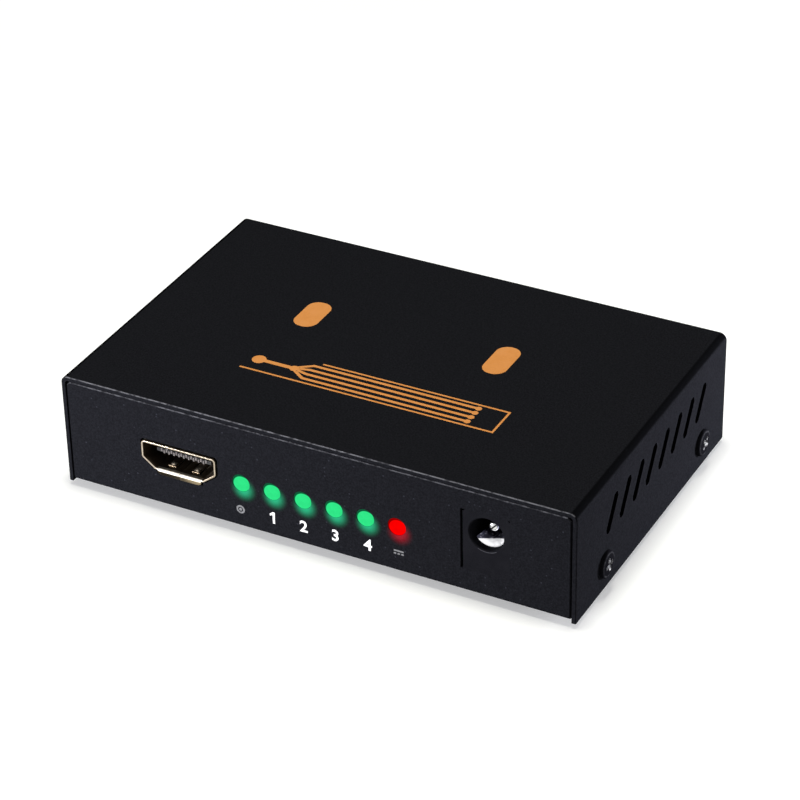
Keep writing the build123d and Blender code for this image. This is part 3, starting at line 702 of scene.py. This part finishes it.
def cut(mesh, cutters):
    """The mesh less some closed forms."""
    scratch = [add_scratch("cutter", cutter) for cutter in cutters]
    differences = [
        ("BOOLEAN", {"operation": "DIFFERENCE", "solver": "EXACT", "object": cutter}) for cutter in scratch
    ]
    result = modified(mesh, differences, sharp=30.0)
    for cutter in scratch:
        bpy.data.objects.remove(cutter)
    return result


# Lamps


def lens_mesh():
    """A lamp's lens: a smooth low dome on a straight body."""
    dome = [(-LAMP_NOSE * (1 - math.cos(turn)), LAMP_RADIUS * math.sin(turn)) for turn in quarter_turn(12)]
    body = [(-LAMP_LENGTH, LAMP_RADIUS), (-LAMP_LENGTH, 0)]
    return to_mesh(lathe(dome + body, segments=72), "lamp_lens", sharp=50.0)


lens = lens_mesh()
for number, node in enumerate(LAMP_NODES):
    x = LAMP_FIRST_X + LAMP_PITCH * number
    slot = "lamp_red" if node == "power_lamp" else "lamp_green"
    add_piece(node + "_lens", lens.copy(), on_front(x, LAMP_Z, PROUD), slot, replaced=[node])


# Screws

SCREW_CROWN = 0.9
SCREW_RIM = 0.3
SCREW_RADIUS = 2.5
SHANK = [(0.0, 1.5), (-3.6, 1.5), (-4.0, 1.1), (-4.0, 0)]

# The cross recess: its wings' span and width above the crown, their shares of these at its floor, and how far
# the cutter reaches below and above the crown
WING_SPAN, WING_WIDTH = 3.1, 0.8
HALF_SPAN_SHARE, HALF_WIDTH_SHARE = 0.28, 0.36
WING_DEPTH, CUTTER_RISE = 0.62, 0.4


def cross_wing():
    """A cutter for one wing of the cross recess, narrowing as it goes down."""
    form = bmesh.new()
    rings = []
    for out, half_span, half_width in (
        (CUTTER_RISE, WING_SPAN / 2, WING_WIDTH / 2),
        (-WING_DEPTH, WING_SPAN * HALF_SPAN_SHARE, WING_WIDTH * HALF_WIDTH_SHARE),
    ):
        corners = ((-1, -1), (1, -1), (1, 1), (-1, 1))
        rings.append([(half_span * x, half_width * y, SCREW_CROWN + out) for x, y in corners])
    prism(form, *rings)
    return form


def screw_mesh():
    """A pan-head screw with a rounded crown and a cross recess."""
    profile = [(SCREW_CROWN, 0)]
    for turn in quarter_turn(14)[1:]:
        crown = (SCREW_CROWN - SCREW_RIM) * math.cos(turn) ** 0.5
        profile.append((SCREW_RIM + crown, SCREW_RADIUS * math.sin(turn) ** 0.9))
    head = to_mesh(lathe(profile + [(0.0, SCREW_RADIUS)] + SHANK, segments=72), "pan_screw")
    wings = [cross_wing(), turned(cross_wing(), math.pi / 2)]
    return cut(head, [to_mesh(wing, "wing") for wing in wings])


screw = screw_mesh()
screw_turns = (0.35, 1.1, 0.15, 0.8)
screw_places = [(side, y) for side in (-1, 1) for y in SCREW_YS]
for number, ((side, y), turn) in enumerate(zip(screw_places, screw_turns), 1):
    seat = facing((side * CASE_WIDTH / 2, y, SCREW_Z), (0, side, 0), (0, 0, 1))
    add_piece(
        f"cover_screw_{number}",
        screw.copy(),
        seat @ Matrix.Rotation(turn, 4, "Z"),
        "black_screw",
        replaced=["cover_screws"] if number == 1 else [],
    )


# Socket shells

SHELL_WALL = 0.3
SHELL_HALF = 7.5
SHELL_OUTLINE = [
    (4.9, -2.7), (SHELL_HALF, -0.7), (SHELL_HALF, 2.7), (-SHELL_HALF, 2.7), (-SHELL_HALF, -0.7), (-4.9, -2.7),
]
SHELL_CORNER = 0.55
SHELL_BEVEL = 0.06

# Where the shell's floor is divided: from the seam sideways, and from the mouth inwards
FLOOR_XS = [0.02, 0.7, 1.4, 1.6, 1.8, 1.95, 2.1, 2.25, 2.4, 2.55, 2.7, 2.85, 3.0, 3.2, 3.4, 3.9, 4.4]
SHELL_DEPTHS = [0.0, 0.6, 1.2, 1.5, 1.7, 1.9, 2.05, 2.2, 2.35, 2.5, 2.65, 2.8, 3.0, 3.6, 4.6, 5.9, 8.4, 11.2]

# The lip rolls down from the floor over this half width, into a flange whose corners are cut off
LIP_HALF = 4.4
LIP_ROOT = 1.2
LIP_STEP = -0.9
LIP_BEND = 0.28
FLANGE_LOWS = (-3.3, -3.6)
FLANGE_CORNER = 3.2

# Each spring is a finger between two slits, free at its tip, with a bump near the tip
SPRING_HALF = 0.8
SPRING_SLIT = 0.2
SPRING_TIP = 1.5
SPRING_START = 1.7
SPRING_END = 5.9
SPRING_LIFT = 0.12
BUMP_DEPTH = 2.45
BUMP_HALF_WIDTH = 0.5
BUMP_HALF_LENGTH = 0.45
BUMP_HEIGHT = 0.36

LEG_DEPTHS = (3.4, 9.4)
LEG_HALF = 0.6
LEG_TOP = 0.1

NEAR = 0.01


def sideways(direction):
    """A flat direction, turned left by a right angle."""
    return Vector((-direction.y, direction.x))


def inset(corners, amount):
    """A convex outline, listed anticlockwise, moved inwards."""
    lines = []
    for i in range(len(corners)):
        start, end = Vector(corners[i]), Vector(corners[(i + 1) % len(corners)])
        along = (end - start).normalized()
        lines.append((start + sideways(along) * amount, along))
    result = []
    for i in range(len(corners)):
        (p, u), (q, v) = lines[i - 1], lines[i]
        step = (q - p).cross(v) / u.cross(v)
        result.append(p + u * step)
    return result


def rounded(before, corner, after, radius):
    """Points of the arc that rounds a corner."""
    steps = 6
    a = (before - corner).normalized()
    b = (after - corner).normalized()
    half = a.angle(b) / 2
    reach = radius / math.tan(half)
    centre = corner + (a + b).normalized() * (radius / math.sin(half))
    start = corner + a * reach - centre
    end = corner + b * reach - centre
    sweep = start.angle_signed(end)
    return [centre + Matrix.Rotation(-sweep * i / steps, 2) @ start for i in range(steps + 1)]


def spring_lift(point, depth, floor):
    """How far the floor stands up at a point, because a spring slopes up there or has its bump there."""
    off_middle = abs(abs(point.x) - SPRING_X)
    on_spring = point.y <= floor + NEAR and off_middle <= SPRING_HALF + NEAR
    if not on_spring or not SPRING_START <= depth < SPRING_END:
        return 0.0
    slope = SPRING_LIFT * (SPRING_END - depth) / (SPRING_END - SPRING_START)
    bump = max(0.0, 1 - (off_middle / BUMP_HALF_WIDTH) ** 2)
    bump *= max(0.0, 1 - ((depth - BUMP_DEPTH) / BUMP_HALF_LENGTH) ** 2)
    return slope + BUMP_HEIGHT * bump ** 0.7


def floor_is_open(middle_x, depth, next_depth):
    """Whether the floor is cut away between two depths: by the lip, ahead of a spring or in its slits."""
    if next_depth <= LIP_ROOT + NEAR and middle_x < LIP_HALF:
        return True
    off_middle = abs(middle_x - SPRING_X)
    if depth < SPRING_TIP - NEAR or off_middle >= SPRING_HALF + SPRING_SLIT:
        return False
    return depth < SPRING_START - NEAR or (depth < SPRING_END - NEAR and off_middle > SPRING_HALF)


def add_lip(form, path, root, floor):
    """Adds the rolled lip and its flange to both halves of the floor's front edge."""
    front = -SHELL_WALL / 2
    bend_out, bend_up = front - LIP_BEND, floor - LIP_BEND
    profile = [(LIP_STEP, floor), (bend_out, floor)]
    for turn in quarter_turn(5)[1:]:
        profile.append((bend_out + LIP_BEND * math.sin(turn), bend_up + LIP_BEND * math.cos(turn)))
    profile += [(front, low) for low in FLANGE_LOWS]
    on_lip = [i for i, p in enumerate(path) if abs(p.x) <= LIP_HALF + NEAR and p.y < floor + NEAR]
    for side in (1, -1):
        edge = [i for i in on_lip if path[i].x * side > 0]
        previous = [root[i] for i in edge]
        for out, up in profile:
            current = []
            for x in (path[i].x for i in edge):
                height = max(up, abs(x) - LIP_HALF - FLANGE_CORNER)
                current.append(form.verts.new((x * MM, height * MM, out * MM)))
            strip(form, previous, current)
            previous = current


def add_legs(form):
    """Adds the four legs that stand on the board."""
    for side in (-1, 1):
        left, right = sorted((SHELL_HALF * side, (SHELL_HALF - SHELL_WALL) * side))
        for depth in LEG_DEPTHS:
            block(form, (left, BOARD_TOP - SOCKET_Z, -depth - LEG_HALF), (right, LEG_TOP, -depth + LEG_HALF))


def shell_mesh():
    """The formed shell: a rounded tube of sheet with a flared lower lip, a seam and two spring fingers."""
    middle = inset(SHELL_OUTLINE, SHELL_WALL / 2)
    floor = middle[0].y
    path = [Vector((x, floor)) for x in FLOOR_XS]
    for i in range(len(middle)):
        path += rounded(middle[i - 1], middle[i], middle[(i + 1) % len(middle)], SHELL_CORNER)
    path += [Vector((-x, floor)) for x in reversed(FLOOR_XS)]

    form = bmesh.new()
    rows = [
        [form.verts.new((p.x * MM, (p.y + spring_lift(p, depth, floor)) * MM, -depth * MM)) for p in path]
        for depth in SHELL_DEPTHS
    ]
    for depth, next_depth, first, second in zip(SHELL_DEPTHS, SHELL_DEPTHS[1:], rows, rows[1:]):
        for i, (p, q) in enumerate(zip(path, path[1:])):
            on_floor = p.y < floor + NEAR and q.y < floor + NEAR
            if on_floor and floor_is_open(abs(p.x + q.x) / 2, depth, next_depth):
                continue
            strip(form, first[i:i + 2], second[i:i + 2])
    add_lip(form, path, rows[SHELL_DEPTHS.index(LIP_ROOT)], floor)
    bmesh.ops.delete(form, geom=[v for v in form.verts if not v.link_faces], context="VERTS")
    thick = {"thickness": SHELL_WALL * MM, "offset": 0.0, "use_even_offset": True}
    rim = {"width": SHELL_BEVEL * MM, "segments": 2, "limit_method": "ANGLE", "angle_limit": math.radians(50)}
    sheet = to_mesh(form, "socket_sheet", sharp=60.0)
    form = to_form(modified(sheet, [("SOLIDIFY", thick), ("BEVEL", rim)], sharp=50.0))
    add_legs(form)
    return to_mesh(form, "socket_shell", sharp=50.0)


shell = shell_mesh()
sockets = [("input", on_front(INPUT_X, SOCKET_Z, PROUD))]
sockets += [(f"output_{number}", on_back(x, SOCKET_Z, PROUD)) for number, x in enumerate(OUTPUT_XS, 1)]
for name, place in sockets:
    add_piece(f"{name}_formed_shell", shell.copy(), place, "socket_gold", replaced=[f"{name}_shell"])


# Power inlet: pin, leaf contact and the ramp below its apron

PIN_RADIUS = 1.0
PIN_FLAT = 0.3
PIN_NOSE = 0.7
PIN_TIP = -2.5
PIN_ROOT = -9.5
PIN_REAR = -14.0
PIN_BASE_HALF = 0.7
PIN_LUG_HALF = 1.2
PIN_LUG_TOP = 1.0
PIN_LUG_THICKNESS = 0.3
SPLIT_DEPTH = 2.0
SPLIT_RISE = 0.5
SPLIT_HALF_WIDTH = 0.125
SPLIT_HALF_SPAN = 1.3
LUG_FOOT = -7.9

# The leaf's line as depth and radius, its arc in degrees, and its lug
LEAF_LINE = [
    (1.35, 3.04), (1.5, 2.95), (1.8, 2.74), (2.2, 2.46), (2.7, 2.2),
    (3.4, 2.05), (4.4, 2.02), (5.6, 2.2), (6.7, 2.55), (7.85, 2.95),
]
LEAF_START, LEAF_SWEEP, LEAF_STEPS = 215, 165, 30
LEAF_THICKNESS = 0.2
LEAF_LUG = ((-0.15, LUG_FOOT, -7.85), (0.15, -2.9, -5.45))

# The ramp's two ends, and its outline as Y and Z
RAMP_XS = (28.95, 37.74)
RAMP_OUTLINE = ((-32.09, 6.11), (-31.81, 6.11), (-31.81, 6.7))


def pin_mesh():
    """The centre pin with a rounded, split tip and its rear lug."""
    profile = [(PIN_TIP, 0), (PIN_TIP, PIN_FLAT)]
    for turn in quarter_turn(10)[1:]:
        radius = PIN_FLAT + (PIN_RADIUS - PIN_FLAT) * math.sin(turn)
        profile.append((PIN_TIP - PIN_NOSE * (1 - math.cos(turn)), radius))
    profile += [(PIN_ROOT, PIN_RADIUS), (PIN_ROOT, 0)]
    slot = bmesh.new()
    block(
        slot,
        (-SPLIT_HALF_SPAN, -SPLIT_HALF_WIDTH, PIN_TIP - SPLIT_DEPTH),
        (SPLIT_HALF_SPAN, SPLIT_HALF_WIDTH, PIN_TIP + SPLIT_RISE),
    )
    cutter = to_mesh(turned(slot, math.radians(45)), "slot")
    form = to_form(cut(to_mesh(lathe(profile, segments=56), "jack_pin"), [cutter]))
    block(form, (-PIN_BASE_HALF, -PIN_BASE_HALF, PIN_REAR), (PIN_BASE_HALF, PIN_BASE_HALF, PIN_ROOT))
    block(form, (-PIN_LUG_HALF, LUG_FOOT, PIN_REAR - PIN_LUG_THICKNESS), (PIN_LUG_HALF, PIN_LUG_TOP, PIN_REAR))
    return to_mesh(form, "jack_pin", sharp=35.0)


def leaf_mesh():
    """The curved sleeve contact: a leaf that slopes in, runs level and springs back, with its lug."""
    form = bmesh.new()
    turns = [math.radians(LEAF_START + LEAF_SWEEP * i / LEAF_STEPS) for i in range(LEAF_STEPS + 1)]
    rows = [
        [form.verts.new((radius * MM * math.cos(t), radius * MM * math.sin(t), -depth * MM)) for t in turns]
        for depth, radius in LEAF_LINE
    ]
    for first, second in zip(rows, rows[1:]):
        strip(form, first, second)
    smooth = {"levels": 1, "render_levels": 1}
    sheet = {"thickness": LEAF_THICKNESS * MM, "offset": 0.0}
    form = to_form(modified(to_mesh(form, "leaf"), [("SUBSURF", smooth), ("SOLIDIFY", sheet)], sharp=50.0))
    block(form, *LEAF_LUG)
    return to_mesh(form, "jack_leaf", sharp=50.0)


def ramp_mesh():
    """The ramp that joins the inlet's apron to the lower edge of its window."""
    form = bmesh.new()
    prism(form, *([(x, y, z) for y, z in RAMP_OUTLINE] for x in RAMP_XS))
    return to_mesh(form, "jack_foot", sharp=20.0)


jack_place = facing((JACK_X, JACK_Y, JACK_Z), (1, 0, 0), (0, 0, 1))
add_piece("jack_split_pin", pin_mesh(), jack_place, "jack_metal", replaced=["jack_pin"])
add_piece("jack_leaf_contact", leaf_mesh(), jack_place, "jack_metal", LEAF_NICKEL, ["jack_sleeve"])
add_piece("jack_apron_foot", ramp_mesh(), Matrix.Identity(4), "jack_plastic")


# Printed marks and a painted highlight: flat plates of ink on the faces

PRINT_THICKNESS = 0.02
ROUND_STEPS = 28

# A stroke's half width is divided by no less than this at a sharp turn, so its corner stays short
MITRE_LEAST = 0.3


def arc(x, y, radius, start, end, steps):
    """Points along an arc, both ends included."""
    turns = [start + (end - start) * i / steps for i in range(steps + 1)]
    return [(x + radius * math.cos(t), y + radius * math.sin(t)) for t in turns]


class Plate:
    """Collects flat ink shapes, in millimetres, and makes one thin piece of them."""

    def __init__(self):
        self.form = bmesh.new()

    def polygon(self, points):
        prism(self.form, *([(x, y, z) for x, y in points] for z in (0.0, PRINT_THICKNESS)))

    def pill(self, x, y, width, height, radius):
        points = []
        for quarter, (side_x, side_y) in enumerate(((1, 1), (-1, 1), (-1, -1), (1, -1))):
            centre_x = x + side_x * (width / 2 - radius)
            centre_y = y + side_y * (height / 2 - radius)
            points += arc(centre_x, centre_y, radius, math.pi / 2 * quarter, math.pi / 2 * (quarter + 1), 10)
        self.polygon(points)

    def dot(self, x, y, radius):
        self.polygon(arc(x, y, radius, 0.0, 2 * math.pi, ROUND_STEPS)[:-1])

    def stroke(self, points, width, bulb=0.0):
        """A line of even width through some points, which may end in a dot of this radius."""
        line = [Vector(p) for p in points]
        runs = [(end - start).normalized() for start, end in zip(line, line[1:])]
        left, right = [], []
        for i, point in enumerate(line):
            before, after = runs[max(0, i - 1)], runs[min(i, len(runs) - 1)]
            across = sideways((before + after).normalized())
            reach = width / 2 / max(MITRE_LEAST, across.dot(sideways(after)))
            left.append(tuple(point + across * reach))
            right.append(tuple(point - across * reach))
        end = []
        if bulb:
            centre = line[-1] + runs[-1] * math.sqrt(bulb**2 - (width / 2) ** 2)
            start = Vector(left[-1]) - centre
            first = math.atan2(start.y, start.x)
            sweep = 2 * (math.pi - math.asin(width / 2 / bulb))
            end = arc(centre.x, centre.y, bulb, first, first - sweep, ROUND_STEPS)[1:-1]
        self.polygon(left + end + right[::-1])

    def ring(self, x, y, outer, inner, start=0.0, end=360.0):
        """A ring between two radii, or the part of it between two turns in degrees."""
        points = arc(x, y, (outer + inner) / 2, math.radians(start), math.radians(end), ROUND_STEPS)
        for first, second in zip(points, points[1:]):
            self.stroke([first, second], outer - inner)

    def add(self, name, place, material, slot="case_coat"):
        """Makes the piece."""
        add_piece(name, to_mesh(self.form, name, sharp=30.0), place, slot, material)


def digit_mesh(text, height):
    """A bold figure as flat ink, centred on its place."""
    curve = bpy.data.curves.new("digit", "FONT")
    curve.body = text
    curve.size = 1.0
    curve.offset = 0.022
    curve.extrude = 0.01
    curve.resolution_u = 4
    mesh = worked_out(add_scratch("digit", curve))
    xs = [v.co.x for v in mesh.vertices]
    ys = [v.co.y for v in mesh.vertices]
    scale = height * MM / (max(ys) - min(ys))
    centre_x, centre_y = (max(xs) + min(xs)) / 2, (max(ys) + min(ys)) / 2
    for vert in mesh.vertices:
        out = PRINT_THICKNESS * MM if vert.co.z > 0 else 0.0
        vert.co = ((vert.co.x - centre_x) * scale, (vert.co.y - centre_y) * scale, out)
    return mesh


# Front: a painted highlight arc below the inlet's bore, the figures 1 to 4, and two plain symbols

FIGURE_HEIGHT = 2.36
FIGURE_Z = 5.28
FIGURE_XS = (-7.92, -1.73, 4.48, 10.82)
FIGURE_ONE = [
    (0.05, -1.18), (0.48, -1.18), (0.48, 1.18), (0.10, 1.18), (-0.50, 0.72), (-0.50, 0.28), (0.05, 0.62),
]
INPUT_MARK_X, INPUT_MARK_Z = -14.3, 5.15
POWER_MARK_X, POWER_MARK_Z = 16.8, 5.5
POWER_MARK_LINE = 0.3

# A painted highlight along the lower rim of the inlet's bore
rim_highlight = Plate()
rim_highlight.ring(0, 0, outer=3.50, inner=3.40, start=243, end=303)
rim_highlight.add("jack_rim_highlight", jack_place, RIM_HIGHLIGHT_GREY, "jack_plastic")

one = Plate()
one.polygon(FIGURE_ONE)
one.add("digit_1", on_front(FIGURE_XS[0], FIGURE_Z), INK_WHITE)
for text, x in zip("234", FIGURE_XS[1:]):
    add_piece("digit_" + text, digit_mesh(text, FIGURE_HEIGHT), on_front(x, FIGURE_Z), "case_coat", INK_WHITE)

input_mark = Plate()
input_mark.ring(0, 0, outer=0.84, inner=0.5)
input_mark.dot(0, 0, radius=0.3)
input_mark.add("input_mark", on_front(INPUT_MARK_X, INPUT_MARK_Z), INK_GREY)

power_mark = Plate()
power_mark.stroke([(-0.95, 0.28), (0.95, 0.28)], POWER_MARK_LINE)
for x in (-0.72, 0.0, 0.72):
    power_mark.stroke([(x - 0.23, -0.3), (x + 0.23, -0.3)], POWER_MARK_LINE)
power_mark.add("power_mark", on_front(POWER_MARK_X, POWER_MARK_Z), INK_GREY)

# Top: two pills, an open frame of thin line, and one line that branches into four

PILL_RADIUS = 2.2
FRAME_LINE = [(-23.1, -15.6), (26.5, -15.6), (26.5, -8.7), (-10.0, -8.7)]
FRAME_WIDTH = 0.4
JOINT_X, JOINT_Y, JOINT_RADIUS = -14.0, -12.1, 0.85
TRUNK_START_X, TRUNK_WIDTH, TRUNK_DOT = -19.9, 0.9, 1.3
BRANCH_XS = (-11.2, 20.6)
BRANCH_LOW, BRANCH_PITCH = -14.35, 1.5
BRANCH_ROOT_LOW, BRANCH_ROOT_PITCH = -12.4, 0.2
BRANCH_WIDTH, BRANCH_DOT = 0.62, 0.6

pills = Plate()
pills.pill(-20.1, 5.7, width=4.7, height=9.0, radius=PILL_RADIUS)
pills.pill(17.7, 6.2, width=4.6, height=9.6, radius=PILL_RADIUS)
pills.add("top_pills", on_top(), INK_ORANGE)

line = Plate()
line.stroke(FRAME_LINE, FRAME_WIDTH)
line.add("top_line", on_top(), INK_ORANGE)

branches = Plate()
branches.stroke([(JOINT_X, JOINT_Y), (TRUNK_START_X, JOINT_Y)], TRUNK_WIDTH, TRUNK_DOT)
for number in range(4):
    root = (JOINT_X, BRANCH_ROOT_LOW + number * BRANCH_ROOT_PITCH)
    level = BRANCH_LOW + number * BRANCH_PITCH
    branches.stroke([root] + [(x, level) for x in BRANCH_XS], BRANCH_WIDTH, BRANCH_DOT)
branches.add("top_branches", on_top(), INK_ORANGE)

# Half a print's thickness higher, because it lies over the strokes' ends
joint = Plate()
joint.dot(JOINT_X, JOINT_Y, JOINT_RADIUS)
joint.add("top_joint", on_top(PRINT_THICKNESS / 2), INK_ORANGE)


# Floor, world and lights


def seen_rays(tree):
    """1 for what is seen, straight, in a reflection or through something, and 0 for light on surfaces."""
    rays = tree.nodes.new("ShaderNodeLightPath")
    seen = rays.outputs["Is Camera Ray"]
    for name in ("Is Glossy Ray", "Is Transmission Ray"):
        either = tree.nodes.new("ShaderNodeMath")
        either.operation = "MAXIMUM"
        tree.links.new(seen, either.inputs[0])
        tree.links.new(rays.outputs[name], either.inputs[1])
        seen = either.outputs["Value"]
    return seen


def add_floor():
    """A plain pale floor that keeps the object's soft shadow, and turns white away from the object."""
    half_size = 2000.0
    below = 0.01
    white_from, white_to = 150.0, 500.0
    near_glow = 0.30

    form = bmesh.new()
    bmesh.ops.create_grid(form, x_segments=1, y_segments=1, size=half_size * MM)
    floor = bpy.data.objects.new("floor", to_mesh(form, "floor"))
    floor.location = (0, 0, -below * MM)
    bpy.context.scene.collection.objects.link(floor)
    finish = Finish("floor", (0.82, 0.82, 0.83), 0.9, specular=0.0)
    across_x, across_y, _ = finish.axes(finish.position)
    away = finish.distance(across_x, across_y)
    glow = finish.spread(away, white_from, white_to, near_glow, 1.0, MM)
    finish.set("Emission Color", (1.0, 1.0, 1.0, 1.0))
    finish.drive("Emission Strength", finish.math("MULTIPLY", seen_rays(finish.tree), glow))
    floor.data.materials.append(finish.material)


def add_world():
    """Even pale surroundings, white where they are seen and softer as light."""
    light_level, seen_level = 0.15, 1.0

    world = bpy.data.worlds.new("surroundings")
    world.use_nodes = True
    tree = world.node_tree
    sky = tree.nodes["Background"]
    sky.inputs["Color"].default_value = (0.98, 0.985, 1.0, 1.0)
    level = tree.nodes.new("ShaderNodeMapRange")
    level.inputs["To Min"].default_value = light_level
    level.inputs["To Max"].default_value = seen_level
    tree.links.new(seen_rays(tree), level.inputs["Value"])
    tree.links.new(level.outputs["Result"], sky.inputs["Strength"])
    bpy.context.scene.world = world


def add_light(name, place, aim, size, power, color):
    """A round soft light, placed and aimed in millimetres."""
    data = bpy.data.lights.new(name, "AREA")
    data.shape = "DISK"
    data.size = size * MM
    data.energy = power
    data.color = color
    light = bpy.data.objects.new(name, data)
    place, aim = Vector(place) * MM, Vector(aim) * MM
    light.matrix_world = Matrix.Translation(place) @ (place - aim).to_track_quat("Z", "Y").to_matrix().to_4x4()
    bpy.context.scene.collection.objects.link(light)


WARM = (1.0, 1.0, 0.9)
COOL = (0.95, 0.96, 1.0)

add_floor()
add_world()
add_light("overhead", (0, -10, 620), (0, 0, 0), size=190, power=2.8, color=WARM)
add_light("front_left", (-200, -260, 40), (-30, -30, 12), size=70, power=1.53, color=COOL)
add_light("right_rear", (182, 147, 19), (50, 10, 12), size=36, power=0.97, color=COOL)

bpy.context.scene.view_settings.view_transform = "Standard"
